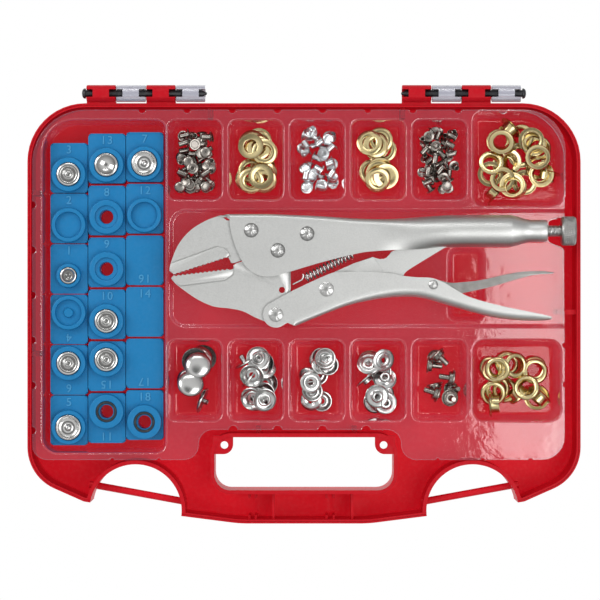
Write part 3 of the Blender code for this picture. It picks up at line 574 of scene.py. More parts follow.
def buildCase():
    height, wall = caseLook["height"], caseLook["wall"]
    gripX, gripY = caseLook["gripHalfWidth"], caseLook["gripY"]
    outline = caseOutline()
    grip = rectangle(-gripX, gripX, *gripY, caseLook["gripRadius"])
    shell = carved(slab(rounded(outline, segments=12), 0, height), *archRods(caseLook["archRadius"]))
    pocket = carved(slab(rounded(outline, wall, 12), caseLook["floor"], height + 5),
                    *archRods(caseLook["archRadius"] + wall),
                    slab(rounded(grip, -wall), -5, height + 10))
    shell = carved(shell, pocket, slab(rounded(grip), -5, height + 5))

    # a thin line pressed into the rim
    near, far = caseLook["rimLine"]
    shell = carved(shell, carved(slab(rounded(outline, near, 12), height - caseLook["rimLineDepth"], height + 2),
                                 slab(rounded(outline, far, 12), height - 3, height + 4)))

    # lugs with a hole in the grip's upper corners, and the latches' bars
    (lugWide, lugDeep), (holeX, holeY) = caseLook["lug"], caseLook["lugHole"]
    lugX, lugY = (gripX - lugWide, gripX + 1), (gripY[1] - lugDeep, gripY[1] + 1)
    barZ = caseLook["latchBarZ"]
    for side in (-1, 1):
        corners = [(lugX[0], lugY[0], 6.0), (lugX[1], lugY[0], 0), (lugX[1], lugY[1], 0), (lugX[0], lugY[1], 0)]
        if side < 0:
            corners = mirrored(corners)
        centre = (side * (lugX[0] + holeX), lugY[0] + holeY)
        bar = [(side * x, y, barZ) for x, y in caseLook["latchBar"]]
        shell = joined(shell, slab(rounded(corners), *caseLook["lugZ"]), rod(*bar, caseLook["latchBarRadius"], 20))
        shell = carved(shell, rod((*centre, 20), (*centre, 35), caseLook["lugHoleRadius"], 28))

    half, frontY, backY = caseLook["ribHalf"], -142.0, gripY[0] - 1
    ribs = [(x - half, x + half, frontY, backY) for x in caseLook["longRibs"]]
    for x in caseLook["shortRibs"]:
        ribs += [(x - half, x + half, frontY, frontY + 3), (x - half, x + half, backY - 4.4, backY)]
    shell = joined(shell, *[block((a, c, 1), (b, d, caseLook["ribTop"])) for a, b, c, d in ribs])
    shell = joined(shell, *[block((a, c, 1), (b, d, top)) for a, b, c, d, top in caseLook["posts"]])

    for groupX in hingeLook["x"]:
        for place in (0, 2):
            low = groupX + (place - 2) * hingeLook["pitch"]
            high = low + hingeLook["length"]
            web = block((low, caseLook["topY"] - 1, hingeLook["z"] - hingeLook["radius"]),
                        (high, hingeLook["y"], hingeLook["z"] - 0.1))
            shell = joined(shell, knuckle(low, high), web)
            shell = carved(shell, *knuckleCutters(low, high))
    placed("caseShell", softened(shell, caseLook["softEdge"]), "red", stands=["case_shell"])
    print("stage: case")


def buildHinges():
    for side, groupX in zip(("left", "right"), hingeLook["x"]):
        for place, letter in ((1, "a"), (3, "b")):
            low = groupX + (place - 2) * hingeLook["pitch"]
            high = low + hingeLook["length"]
            leaf = carved(knuckle(low, high), *knuckleCutters(low, high))
            name = f"{side}_{letter}"
            placed("lidKnuckle_" + name, softened(leaf, 0.2), "knuckle", "lid_knuckle_" + name,
                   ["lid_knuckle_" + name])
        reach, radius, head = 2 * hingeLook["pitch"] + 0.6, hingeLook["pinRadius"], hingeLook["pinHead"]
        profile = [(0.0, reach), (0.7, reach - 0.2), (radius, reach - 3.5), (radius, -reach), (3.0, -reach),
                   (head, -reach - 0.2), (head - 0.05, -reach - 1.0), (2.6, -reach - 1.7), (1.6, -reach - 2.2),
                   (0.0, -reach - 2.4)]
        outwards = 1 if side == "left" else -1
        pin = turned(profile, (groupX, hingeLook["y"], hingeLook["z"]), (outwards, 0, 0), 32)
        placed("hingePin_" + side, pin, "pin", stands=["hinge_pin_" + side])
    print("stage: hinges")


# clear tray

trayLook = {
    "top": 29.5, "wellFloor": 8.0, "wellDraft": 2.2, "bayDraft": 1.2, "rim": 1.5, "flatEdge": 0.04, "bead": 0.3,
    "wellPitch": 38.0, "wellWidth": 33.0, "firstX": -67.8, "wellFillet": 2.6,
    "rows": {"top": (57.5, 106.5), "bottom": (-79.8, -30.1)}, "lastX": (105.2, 158.8),
    "dieBay": [(-162.0, -99.6, 9.0), (-86.1, -99.6, 6.0), (-86.1, 106.6, 6.0), (-162.0, 106.6, 20.0)],
    "pliersBay": (-82.5, -21.2, 50.4), "pliersFloor": 26.7,
    "groove": (90.0, 111.5, -17.5, 27.0, 5.0), "grooveFloor": 16.0,
    "leftX": -168.3, "rightX": 161.5, "frontY": -104.0, "gripX": (-65.5, 60.5), "gripY": -85.3, "backY": 112.8,
    # round bites along the edge: spots and their radius
    "gripBites": ([-44.0, -16.4, 11.4, 38.6], 2.9), "frontBites": ([-119.0, -90.0, 83.0, 110.7, 140.5], 1.3),
    "rightBites": ([-33.0, -57.5], 1.8), "backBites": ([-100.5 + 28.0 * k for k in range(9)], 2.4),
    "leftBites": ([82.0, 54.0, 26.0, -2.0, -30.0, -58.0, -86.0], 2.4),
    "colour": (0.62, 0.50, 0.72), "haze": 0.010,
}
# the clear sheet gets a painted sheen near its top and painted shade on its gloss in the wells
finishes["tray"] = finish("clearSheet", trayLook["colour"], 0.07, vary=0.03, grain=60, bump=0.22, depth=0.0008,
                          dust=0.02, alpha=trayLook["haze"], rimHaze=0.34, topSheenWellShade=0.040)


def wells():
    made = {}
    half = trayLook["wellWidth"] / 2
    xLow, xHigh = trayLook["lastX"]
    for row, (yLow, yHigh) in trayLook["rows"].items():
        for k in range(5):
            centre = trayLook["firstX"] + k * trayLook["wellPitch"]
            made[f"{row}_{k + 1}"] = rectangle(centre - half, centre + half, yLow, yHigh, 5.0)
        if row == "top":
            made["top_6"] = [(xLow, yLow - 4, 6.0), (xHigh + 2, yLow - 4, 8.0),
                             (xHigh + 2, yHigh + 5, 24.0), (xLow, yHigh + 5, 6.0)]
        else:
            made["bottom_6"] = rectangle(xLow, xHigh, yLow, yHigh, 7.0)
    return made


# (inset, z) from the mouth's rolled rim down the wall to the floor, with a hair's breadth of flat at both
# ends so that the bends' shading stays off the flats
def cupProfile(floor, draft, mouth, fillet):
    rim, flatEdge = trayLook["rim"], trayLook["flatEdge"]
    bend = [math.radians(15 * k) for k in range(7)]
    foot = [math.radians(18 * k) for k in range(6)]
    wallEnd = draft - draft * fillet / (mouth - floor)
    made = [(-rim - flatEdge, mouth)]
    made += [(-rim + rim * math.sin(a), mouth - rim + rim * math.cos(a)) for a in bend]
    made += [(wallEnd + fillet * (1 - math.cos(a)), floor + fillet * (1 - math.sin(a))) for a in foot]
    return made + [(made[-1][0] + flatEdge, floor)]


# small round bites taken out of a straight edge, at spots along it
def notched(points, spots, radius, axis):
    made = []
    for a, b in zip(points, points[1:] + points[:1]):
        made.append(a)
        flat = 1 - axis
        if abs(a[flat] - b[flat]) > 1e-4:
            continue
        way = 1 if b[axis] > a[axis] else -1
        inside = [s for s in spots if min(a[axis], b[axis]) + radius < s < max(a[axis], b[axis]) - radius]
        for spot in sorted(inside, reverse=way < 0):
            for k in range(9):
                angle = math.pi * k / 8
                point = [0, 0]
                point[axis] = spot - way * radius * math.cos(angle)
                inward = way if axis == 0 else -way
                point[flat] = a[flat] + inward * radius * 0.9 * math.sin(angle)
                made.append(tuple(point))
    return made


# triangulated flat face between loops of vertices, the outer loop first
def filled(bm, loops):
    verts = [v for loop in loops for v in loop]
    for corner in tessellate_polygon([[v.co.copy() for v in loop] for loop in loops]):
        if len(set(corner)) == 3:
            bm.faces.new([verts[i] for i in corner])


# wall rings of a cup. Gives its first and last ring of vertices
def addCup(bm, corners, profile, segments, openRight=False):
    rows = []
    for inset, z in profile:
        shape = corners(inset) if callable(corners) else corners
        rows.append([bm.verts.new((x, y, z)) for x, y in rounded(shape, inset, segments)])
    count = len(rows[0])
    for a, b in zip(rows, rows[1:]):
        for i in range(count):
            if openRight and i == segments + 1:
                continue
            j = (i + 1) % count
            bm.faces.new((a[i], b[i], b[j], a[j]))
    return rows[0], rows[-1]


def buildTray():
    top, rim, flatEdge, bead = (trayLook[key] for key in ("top", "rim", "flatEdge", "bead"))
    bayX, bayLow, bayHigh = trayLook["pliersBay"]
    leftX, edgeX, frontY, backY = (trayLook[key] for key in ("leftX", "rightX", "frontY", "backY"))
    bm = bmesh.new()
    mouths = []
    cups = [(corners, trayLook["wellDraft"], trayLook["wellFillet"], 8) for corners in wells().values()]
    for corners, draft, fillet, segments in cups + [(trayLook["dieBay"], trayLook["bayDraft"], 1.2, 10)]:
        first, last = addCup(bm, corners, cupProfile(trayLook["wellFloor"], draft, top, fillet), segments)
        mouths.append(first)
        bm.faces.new(last)

    # the pliers' bay runs out through the tray's right edge
    def bayCorners(inset):
        return [(bayX, bayLow, 9.0), (edgeX + inset, bayLow, 0), (edgeX + inset, bayHigh, 0), (bayX, bayHigh, 9.0)]

    bayFloor, foot = trayLook["pliersFloor"], 1.1
    profile = [(-rim - flatEdge, top)]
    profile += [(-rim + rim * math.sin(a), top - rim + rim * math.cos(a))
                for a in (math.radians(15 * k) for k in range(6))]
    profile += [(0.3 + foot * (1 - math.cos(a)), bayFloor + foot * (1 - math.sin(a)))
                for a in (math.radians(22.5 * k) for k in range(1, 5))]
    profile += [(profile[-1][0] + flatEdge, bayFloor)]
    mouthRing, floorRing = addCup(bm, bayCorners, profile, 8, openRight=True)

    (gripLow, gripHigh), gripY = trayLook["gripX"], trayLook["gripY"]
    lowCut, highCut = bayLow - rim, bayHigh + rim
    outer = rounded([(leftX, frontY, 9.0), (gripLow, frontY, 9.0), (gripLow, gripY, 9.0), (gripHigh, gripY, 9.0),
                     (gripHigh, frontY, 9.0), (edgeX, frontY, 14.0), (edgeX, lowCut, 0), (leftX, lowCut, 0)])
    upper = rounded([(edgeX, highCut, 0), (edgeX, backY, 31.0), (leftX, backY, 33.0), (leftX, highCut, 0)],
                    segments=12)
    # only the run outside the bay is kept of each
    lowerRun = [p for p in outer if p[1] < lowCut - 1e-3]
    upperRun = [p for p in upper if p[1] > highCut + 1e-3]
    edge = notched(lowerRun, *trayLook["gripBites"], 0)
    edge = notched(edge, *trayLook["frontBites"], 0)
    edge = notched(edge + [(edgeX, lowCut - 0.3)], *trayLook["rightBites"], 1)
    back = notched(upperRun, *trayLook["backBites"], 0)
    back = notched(back + [lowerRun[0]], *trayLook["leftBites"], 1)
    back = back[:back.index(lowerRun[0])]
    count = len(mouthRing)
    outline = [bm.verts.new((x, y, top)) for x, y in edge]
    outline += [mouthRing[(9 - k) % count] for k in range(count)]
    outline += [bm.verts.new((x, y, top)) for x, y in back]
    filled(bm, [outline] + mouths)

    # finger groove under the handles, and the notch that the knob lies in
    groove = cupProfile(trayLook["grooveFloor"], 2.0, bayFloor, 2.2)
    first, last = addCup(bm, rectangle(*trayLook["groove"]), groove, 8)
    bm.faces.new(last)
    low, high = floorRing[9], floorRing[10]
    notch = rounded([(edgeX, low.co.y, 0), (edgeX, 27.0, 3.0), (151.5, 31.0, 3.0), (151.5, 44.6, 3.0),
                     (edgeX, 46.6, 0.6), (edgeX, high.co.y, 0)], segments=6)
    notchRun = [p for p in notch if low.co.y + 1e-3 < p[1] < high.co.y - 1e-3]
    filled(bm, [floorRing[:10] + [bm.verts.new((x, y, bayFloor)) for x, y in notchRun] + floorRing[10:], first])
    bmesh.ops.remove_doubles(bm, verts=bm.verts, dist=1e-4)
    bm.normal_update()
    for face in bm.faces:
        if face.normal.z < -1e-6:
            face.normal_flip()
    rimLine = [(edgeX, highCut)] + back + edge + [(edgeX, lowCut)]
    lipLine = [(edgeX, low.co.y)] + notchRun + [(edgeX, high.co.y)]
    bm = together(bm, *[tube([(x, y, z - bead) for x, y in line], bead, 6)
                        for line, z in ((rimLine, top), (lipLine, bayFloor))])
    print("stage: tray")
    return placed("clearTray", bm, "tray", stands=["tray"], angle=30)


# die holders

dieLook = {
    "size": (23.2, 31.0, 12.0), "gap": 0.3, "corner": 1.8, "bevel": 1.1,
    "bossRadius": 10.8, "smallBossRadius": 7.6, "bossHeight": 5.0, "bossOffset": 4.2, "socketDepth": 3.0,
    "socketRadius": 8.2, "boreRadius": 4.2, "insertRise": 1.4,
    "numeralSize": 7.2, "numeralOffset": 11.2, "numeralHeight": 0.45,
    "columns": ((-146.6, 77.4, 31.5), (-123.0, 83.3, 32.4), (-99.4, 84.2, 32.2)),  # x, first y, pitch
    # the numerals' paler blue is a painted highlight on their tops
    "colour": (0.010, 0.195, 0.445), "numeralHighlight": (0.06, 0.31, 0.57), "roughness": 0.38,
    "insertColour": (0.60, 0.60, 0.59), "ringColour": (0.018, 0.022, 0.028),
}
dieBase = trayLook["wellFloor"] + dieLook["gap"]
dieFace = dieBase + dieLook["size"][2]
# the numerals' flat tops are painted a paler blue as a highlight
finishes["blue"] = finish("bluePlastic", dieLook["colour"], dieLook["roughness"], vary=0.05, grain=600, bump=0.22,
                          depth=0.0001, dust=0.015, specular=0.24,
                          raised=((dieFace + dieLook["numeralHeight"]) * mm, dieLook["numeralHighlight"]))
finishes["bright"] = finish("brightNickel", dieLook["insertColour"], 0.16, 1.0, vary=0.06, grain=1800, bump=0.15,
                            depth=0.00004, worn=(0.92, 0.92, 0.91), wear=0.12, dust=0.02)
finishes["ring"] = finish("darkRing", dieLook["ringColour"], 0.42, vary=0.15, bump=0.2, dust=0.06)
# number: (column, row, upside down, what it carries)
dies = {
    3: (0, 0, False, "insert"), 2: (0, 1, False, "socket"), 1: (0, 2, False, "small_insert"),
    4: (0, 3, True, "pip"), 6: (0, 4, True, "insert"), 5: (0, 5, False, "post_insert"),
    13: (1, 0, False, "dish_insert"), 8: (1, 1, False, "hole"), 9: (1, 2, False, "hole"),
    10: (1, 3, False, "insert"), 15: (1, 4, True, "insert"), 11: (1, 5, True, "ring_hole"),
    7: (2, 0, False, "post_insert"), 12: (2, 1, False, "socket"), 16: (2, 2, True, "plain"),
    14: (2, 3, False, "plain"), 17: (2, 4, True, "plain"), 18: (2, 5, False, "ring_hole"),
}
insertRadius = {"insert": 7.2, "small_insert": 5.0, "post_insert": 7.8, "dish_insert": 7.2}


# x and y of a holder's middle, and y of its boss
def diePlace(number):
    column, row, upsideDown, _ = dies[number]
    x, firstY, pitch = dieLook["columns"][column]
    y = firstY - row * pitch
    offset = dieLook["bossOffset"]
    return x, y, y + (offset if upsideDown else -offset)


# raised digits
def numeral(text, x, y, z, turned180):
    curve = bpy.data.curves.new("numeral", "FONT")
    curve.body = text
    curve.size = dieLook["numeralSize"]
    curve.align_x = curve.align_y = "CENTER"
    curve.extrude = dieLook["numeralHeight"]
    curve.bevel_depth = 0.05
    curve.bevel_resolution = 1
    curve.resolution_u = 3
    curve.space_character = 1.15
    source = bpy.data.objects.new("numeral", curve)
    scene.collection.objects.link(source)
    mesh = evaluated(source)
    bpy.data.objects.remove(source)
    bm = shapeFrom(mesh)
    bm.transform(Matrix.Translation((x, y, z)) @ Matrix.Rotation(math.pi if turned180 else 0.0, 4, "Z"))
    return bm


def buildDie(number):
    _, _, upsideDown, carries = dies[number]
    x, y, bossY = diePlace(number)
    width, length, _ = dieLook["size"]
    zTop = dieFace + dieLook["bossHeight"]
    bore = dieLook["boreRadius"]
    body = slab(rounded(rectangle(x - width / 2, x + width / 2, y - length / 2, y + length / 2, dieLook["corner"]),
                        0, 5), dieBase, dieFace, dieLook["bevel"], 4)
    parts = []
    if carries != "plain":
        r = dieLook["smallBossRadius" if carries == "small_insert" else "bossRadius"]
        outer = [(r + 0.35, dieFace - 0.4), (r + 0.15, dieFace + 0.2), (r, dieFace + 0.6), (r - 0.05, zTop - 0.8),
                 (r - 0.2, zTop - 0.35), (r - 0.5, zTop - 0.08), (r - 0.9, zTop)]
        if carries in ("hole", "ring_hole"):
            body = carved(body, rod((x, bossY, dieBase - 2), (x, bossY, dieFace + 2), bore, 48))
            step = 7.0 if carries == "hole" else 6.6
            inner = [(step + 0.7, zTop), (step + 0.25, zTop - 0.12), (step, zTop - 0.5), (step - 0.2, zTop - 1.5),
                     (bore + 1, zTop - 1.8), (bore + 0.5, zTop - 1.75), (bore + 0.15, zTop - 2.0),
                     (bore, zTop - 2.5), (bore, dieFace - 0.4)]
            parts.append(turned(outer + inner + outer[:1], (x, bossY, 0), sides=64))
        else:
            socket = insertRadius[carries] + 0.3 if carries in insertRadius else dieLook["socketRadius"]
            floor = zTop - dieLook["socketDepth"]
            inner = [(socket + 0.5, zTop), (socket + 0.12, zTop - 0.1), (socket, zTop - 0.45),
                     (socket - 0.1, floor + 0.4), (socket - 0.5, floor), (0, floor)]
            parts.append(turned([(0, dieFace - 0.4)] + outer + inner, (x, bossY, 0), sides=64))
        if carries == "pip":
            parts.append(turned([(0, floor - 0.2), (3.2, floor - 0.2), (3.0, zTop - 1.1), (2.6, zTop - 0.7),
                                 (0, zTop - 0.55)], (x, bossY, 0), sides=32))
    way = -1 if upsideDown else 1
    parts.append(numeral(str(number), x, y + way * dieLook["numeralOffset"], dieFace, upsideDown))
    placed(f"die_{number}", together(body, *parts), "blue", stands=[f"die_{number:02d}"],
           angle=40)
    if carries == "ring_hole":
        ring = turned([(6.5, zTop - 1.7), (6.5, zTop - 0.7), (6.2, zTop - 0.45), (5.4, zTop - 0.45),
                       (5.0, zTop - 0.8), (4.9, zTop - 1.7), (6.5, zTop - 1.7)], (x, bossY, 0), sides=64)
        placed(f"dieRing_{number}", ring, "ring")


def buildInsert(number):
    carries = dies[number][3]
    x, _, bossY = diePlace(number)
    base = dieFace + dieLook["bossHeight"] - dieLook["socketDepth"]
    r, rim = insertRadius[carries], dieLook["socketDepth"] + dieLook["insertRise"]
    # (radius, height) from the middle out, heights from the rim
    profiles = {
        "dish_insert": [(0, -2.6), (1.6, -2.45), (3.2, -1.95), (4.6, -1.2), (5.8, -0.35), (6.2, -0.02), (6.5, 0),
                        (r - 0.15, -0.1), (r, -0.35)],
        "post_insert": [(0, 2.2), (1.1, 2.15), (1.5, 1.8), (1.7, 0.3), (2.0, -1.0), (2.4, -1.3), (r - 2.1, -1.25),
                        (r - 1.6, -0.7), (r - 1.2, -0.1), (r - 0.8, 0), (r - 0.2, -0.1), (r, -0.4)],
        "small_insert": [(0, -0.3), (2.2, -0.25), (2.5, 0.5), (3.6, 0.55), (3.9, 0.2), (4.1, -0.3),
                         (r - 0.3, -0.35), (r, -0.6)],
        "insert": [(0, 0.7), (0.7, 0.6), (1.1, -0.2), (1.5, -0.5), (2.3, -0.45), (2.5, 0.2), (3.0, 0.35),
                   (3.4, 0.1), (3.6, -0.5), (4.6, -0.5), (4.9, -0.1), (5.3, 0), (r - 0.3, 0), (r, -0.3)],
    }
    profile = [(radius, rim + rise) for radius, rise in profiles[carries]]
    insert = turned(profile + [(r, 0.3), (0, 0.3)], (x, bossY, base), sides=64)
    if carries == "small_insert":
        dots = [turned([(0, rim + 0.35), (0.35, rim + 0.25), (0.45, rim - 0.4), (0, rim - 0.4)],
                       (x + 1.2 * math.cos(a), bossY + 1.2 * math.sin(a), base), sides=12)
                for a in (math.radians(d) for d in (35, 155, 275))]
        insert = together(insert, *dots)
    placed(f"dieInsert_{number}", insert, "bright", stands=[f"die_insert_{number:02d}"],
           angle=50)


# loose fasteners

heapLook = {
    "brass": (0.68, 0.56, 0.29), "nickel": (0.58, 0.58, 0.57), "tin": (0.74, 0.755, 0.77),
    # dark is the nickel darkened as painted shade for the heaps of small rivets and posts
    "dark": (0.30, 0.275, 0.25), "seed": 11, "cell": 0.7, "tries": 7, "steepest": 0.45,
}
finishes["brass"] = finish("brassPlate", heapLook["brass"], 0.20, 1.0, vary=0.07, grain=900, bump=0.12,
                           depth=0.00005, worn=(0.95, 0.82, 0.50), wear=0.3, dust=0.02, blotch=0.08)
finishes["nickel"] = finish("plateNickel", heapLook["nickel"], 0.19, 1.0, vary=0.07, grain=1200, bump=0.15,
                            depth=0.00005, worn=(0.85, 0.85, 0.83), wear=0.25, dust=0.02, blotch=0.08)
finishes["tin"] = finish("brightTin", heapLook["tin"], 0.24, 1.0, vary=0.05, grain=1200, bump=0.12, depth=0.00004,
                         worn=(0.95, 0.95, 0.96), wear=0.25, dust=0.02)
# painted shade: a darkened copy of the plated nickel for the heaps of small rivets and posts
finishes["dark"] = finish("shadedNickelHeap", heapLook["dark"], 0.26, 1.0, vary=0.10, grain=1100, bump=0.2,
                          depth=0.00005, worn=(0.62, 0.58, 0.52), wear=0.8, dust=0.03, blotch=0.15)

# turned shapes with the head or flange downwards at z 0: (radius, height) points and the number of sides
fastenerShapes = {
    "capped_rivet": ([(0, 0), (2.2, 0.1), (3.2, 0.45), (3.5, 0.9), (3.2, 1.1), (1.8, 1.2), (1.75, 6.4),
                      (1.6, 6.5), (1.3, 6.4), (1.2, 2.0), (0, 2.0)], 16),
    "rivet_cap": ([(0, 0), (2.0, 0.12), (3.1, 0.5), (3.5, 1.2), (3.3, 1.9), (2.6, 1.9), (2.2, 1.4), (0, 1.4)], 16),
    "washer": ([(4.35, 0.1), (4.6, 0), (7.8, 0), (8.0, 0.35), (7.9, 0.8), (6.9, 1.25), (5.2, 1.4),
                (4.4, 1.1), (4.35, 0.1)], 28),
    "tubular": ([(0, 0.3), (2.0, 0.1), (3.4, 0.4), (3.8, 0.9), (3.5, 1.25), (2.0, 1.35), (1.95, 5.6),
                 (1.5, 5.6), (1.45, 1.6), (0, 1.6)], 18),
    "post": ([(0, 0), (2.4, 0.1), (3.1, 0.4), (3.2, 0.8), (2.0, 1.1), (1.8, 1.6), (1.75, 5.8), (1.55, 6.0),
              (1.3, 5.8), (1.2, 2.0), (0, 2.0)], 16),
    "eyelet": ([(4.9, 0.5), (5.2, 0.12), (6.2, 0), (7.6, 0.25), (8.0, 0.8), (7.5, 0.85), (6.2, 0.6),
                (5.4, 0.95), (5.15, 1.8), (5.1, 5.6), (4.75, 5.6), (4.8, 1.6), (4.9, 0.5)], 26),
    "snap_cap": ([(0, 0), (2.4, 0.08), (4.6, 0.35), (6.6, 0.95), (7.7, 1.6), (8.3, 2.4), (8.35, 3.0),
                  (8.0, 3.3), (7.6, 2.7), (6.0, 1.6), (4.2, 1.2), (3.9, 1.7), (3.3, 1.8), (2.9, 1.3), (2.3, 1.3),
                  (2.0, 1.9), (2.3, 2.4), (1.9, 2.9), (2.2, 3.5), (1.8, 4.1), (2.1, 4.7), (1.7, 5.3),
                  (1.9, 6.0), (1.6, 6.4), (1.1, 6.4), (1.0, 5.0), (0, 5.0)], 36),
    "cap_post": ([(1.3, 0.2), (1.8, 0), (4.0, 0.1), (6.4, 0.4), (7.2, 1.0), (7.3, 1.6), (6.9, 1.7),
                  (6.3, 1.1), (4.2, 0.9), (3.8, 1.3), (3.1, 1.4), (2.5, 1.2), (2.0, 1.8), (1.9, 6.2),
                  (1.7, 6.4), (1.35, 6.3), (1.3, 2.2), (1.3, 0.2)], 32),
    "cup": ([(1.9, 0.4), (2.5, 0), (4.6, 0.1), (6.6, 1.0), (7.5, 2.2), (7.6, 2.8), (7.2, 3.0), (6.8, 2.5),
             (6.1, 1.6), (4.8, 1.0), (4.4, 1.35), (3.8, 1.4), (3.4, 0.9), (2.5, 0.85), (1.9, 0.9), (1.9, 0.4)], 36),
    "socket": ([(1.8, 0.7), (2.2, 0.4), (3.0, 0.35), (3.4, 0.05), (4.2, 0), (5.6, 0.15), (6.6, 0.8), (6.8, 1.6),
                (6.75, 2.6), (6.3, 3.2), (5.7, 3.3), (5.2, 2.9), (4.9, 2.0), (4.2, 1.5), (3.7, 1.7), (3.1, 1.7),
                (2.7, 1.3), (1.9, 1.2), (1.8, 0.7)], 36),
    "stud": ([(1.5, 0.4), (2.0, 0.1), (3.4, 0.1), (3.8, 0.45), (4.6, 0.5), (5.0, 0.1), (6.4, 0.05), (7.3, 0.5),
              (7.4, 1.0), (7.0, 1.3), (6.4, 0.9), (4.6, 1.1), (3.6, 1.5), (3.0, 2.0), (2.9, 2.6), (3.2, 3.1),
              (3.0, 3.7), (2.3, 3.9), (1.7, 3.7), (1.5, 3.0), (1.5, 0.4)], 36),
    "long_post": ([(0, 0.2), (1.8, 0.1), (2.1, 0.5), (2.9, 0.5), (3.2, 0.1), (4.6, 0.2), (5.3, 0.7), (5.4, 1.2),
                   (4.9, 1.5), (4.3, 1.3), (4.1, 3.4), (3.6, 3.8), (2.0, 3.8), (1.75, 4.4), (1.7, 9.4),
                   (1.4, 9.9), (0, 9.9)], 24),
    "grommet": ([(5.0, 1.0), (5.3, 0.3), (6.0, 0), (7.0, 0.1), (7.8, 0.6), (8.1, 1.2), (7.8, 1.6), (6.9, 1.5),
                 (6.2, 1.2), (5.7, 1.6), (5.5, 2.4), (5.4, 6.4), (5.0, 6.4), (5.0, 1.0)], 32),
}


# well: heap it stands for, shapes with (name, radius, height, how many, share lying on a side, share head down),
# finish, slot
heaps = {
    "top_1": ("small_rivets", [("capped_rivet", 3.5, 6.5, 42, 0.6, 0.5), ("rivet_cap", 3.5, 1.9, 12, 0, 0.5)],
              "dark", "bright_nickel"),
    "top_2": ("brass_washers", [("washer", 8.0, 1.4, 17, 0, 0.5)], "brass", "brass_plate"),
    "top_3": ("tubular_rivets", [("tubular", 3.8, 5.6, 42, 0.55, 0.5)], "tin", "bright_nickel"),
    "top_4": ("brass_rings", [("washer", 8.0, 1.4, 13, 0, 0.5)], "brass", "brass_plate"),
    "top_5": ("short_posts", [("post", 3.2, 6.0, 54, 0.6, 0.5)], "dark", "bright_nickel"),
    "top_6": ("brass_eyelets", [("eyelet", 8.0, 5.6, 21, 0.2, 0.5)], "brass", "brass_plate"),
    "bottom_1": ("snap_caps", [("snap_cap", 8.3, 6.4, 8, 0.3, 0.5)], "nickel", "bright_nickel"),
    "bottom_2": ("cap_posts", [("cap_post", 7.3, 6.4, 6, 0.6, 0.6), ("cup", 7.6, 3.0, 5, 0, 1.0)],
                 "nickel", "bright_nickel"),
    "bottom_3": ("snap_sockets", [("socket", 6.8, 3.3, 11, 0, 0.6)], "nickel", "bright_nickel"),
    "bottom_4": ("snap_studs", [("stud", 7.4, 3.9, 11, 0.1, 0.5)], "nickel", "bright_nickel"),
    "bottom_5": ("long_posts", [("long_post", 5.4, 9.9, 8, 0.7, 0.5)], "dark", "bright_nickel"),
    "bottom_6": ("brass_grommets", [("grommet", 8.1, 6.4, 16, 0.3, 0.25)], "brass", "brass_plate"),
}
# drop fasteners one by one on a height map of the well's floor. Gives (shape, place, angles)
def droppedInto(corners, kinds, dice):
    xs, ys = [c[0] for c in corners], [c[1] for c in corners]
    inset = trayLook["wellDraft"] + 0.8
    low = Vector((min(xs) + inset, min(ys) + inset))
    high = Vector((max(xs) - inset, max(ys) - inset))
    cell, steepest = heapLook["cell"], heapLook["steepest"]
    columns, rows = int((high.x - low.x) / cell) + 1, int((high.y - low.y) / cell) + 1
    ground = [[0.0] * rows for _ in range(columns)]
    order = [kind for kind in kinds for _ in range(kind[3])]
    dice.shuffle(order)
    made = []
    for name, radius, height, _, lyingShare, headDownShare in order:
        lying = dice.random() < lyingShare
        faceUp = dice.random() < headDownShare
        reach = height * 0.75 if lying else radius
        best = None
        for _ in range(heapLook["tries"]):
            x = dice.uniform(low.x + reach, high.x - reach)
            y = dice.uniform(low.y + reach, high.y - reach)
            spots = []
            steps = int(reach / cell) + 1
            i0, j0 = int((x - low.x) / cell), int((y - low.y) / cell)
            for i in range(max(i0 - steps, 0), min(i0 + steps + 1, columns)):
                for j in range(max(j0 - steps, 0), min(j0 + steps + 1, rows)):
                    dx, dy = low.x + i * cell - x, low.y + j * cell - y
                    if dx * dx + dy * dy <= reach * reach:
                        spots.append((dx, dy, ground[i][j], i, j))
            peak = max(spots, key=lambda s: s[2])
            if best is None or peak[2] < best[1][2]:
                best = ((x, y), peak, spots)
        (x, y), peak, spots = best
        along = Vector(peak[:2])
        along = along.normalized() if along.length > 0.3 else Vector((1, 0))
        far = max([s for s in spots if s[0] * along.x + s[1] * along.y < 0] or [peak], key=lambda s: s[2] - 0.02
                  * abs(s[0] * along.x + s[1] * along.y))
        span = (peak[0] - far[0]) * along.x + (peak[1] - far[1]) * along.y
        slope = max(min((peak[2] - far[2]) / max(span, 2.0), steepest), -steepest)
        rest = max(s[2] - slope * (s[0] * along.x + s[1] * along.y) for s in spots)
        thick = radius * 1.1 if lying else height * (0.55 if height > 2 else 1.0)
        for dx, dy, _, i, j in spots:
            share = math.hypot(dx, dy) / reach
            body = thick if (share < 0.45 or height < 2.5) else min(thick, 1.4)
            if lying:
                body = thick * math.sqrt(max(1 - share * share, 0.05))
            ground[i][j] = max(ground[i][j], rest + slope * (dx * along.x + dy * along.y) + body)
        up = Vector((-slope * along.x, -slope * along.y, 1)).normalized()
        z = trayLook["wellFloor"] + 0.15 + rest
        if lying:
            heading = dice.uniform(0, math.tau)
            flat = Vector((math.cos(heading), math.sin(heading), dice.uniform(0.05, 0.28)))
            axis = (flat - 0.4 * flat.dot(up) * up).normalized()
            middle = Vector((x, y, z + radius * 0.62)) - axis * height * 0.45
        elif faceUp:
            axis = (up + Vector((dice.uniform(-0.12, 0.12), dice.uniform(-0.12, 0.12), 0))).normalized()
            middle = Vector((x, y, z + 0.05))
        else:
            tip = 0.10 if height < 2 else 0.35
            axis = -(up + Vector((dice.uniform(-tip, tip), dice.uniform(-tip, tip), 0))).normalized()
            middle = Vector((x, y, z + height * (1.0 if height < 2 else 0.82)))
        middle.z = min(middle.z, trayLook["top"] - 4.0)
        turn = axis.to_track_quat("Z", "Y") @ Matrix.Rotation(dice.uniform(0, math.tau), 3, "Z").to_quaternion()
        made.append((name, middle, turn.to_euler("XYZ")))
    return made


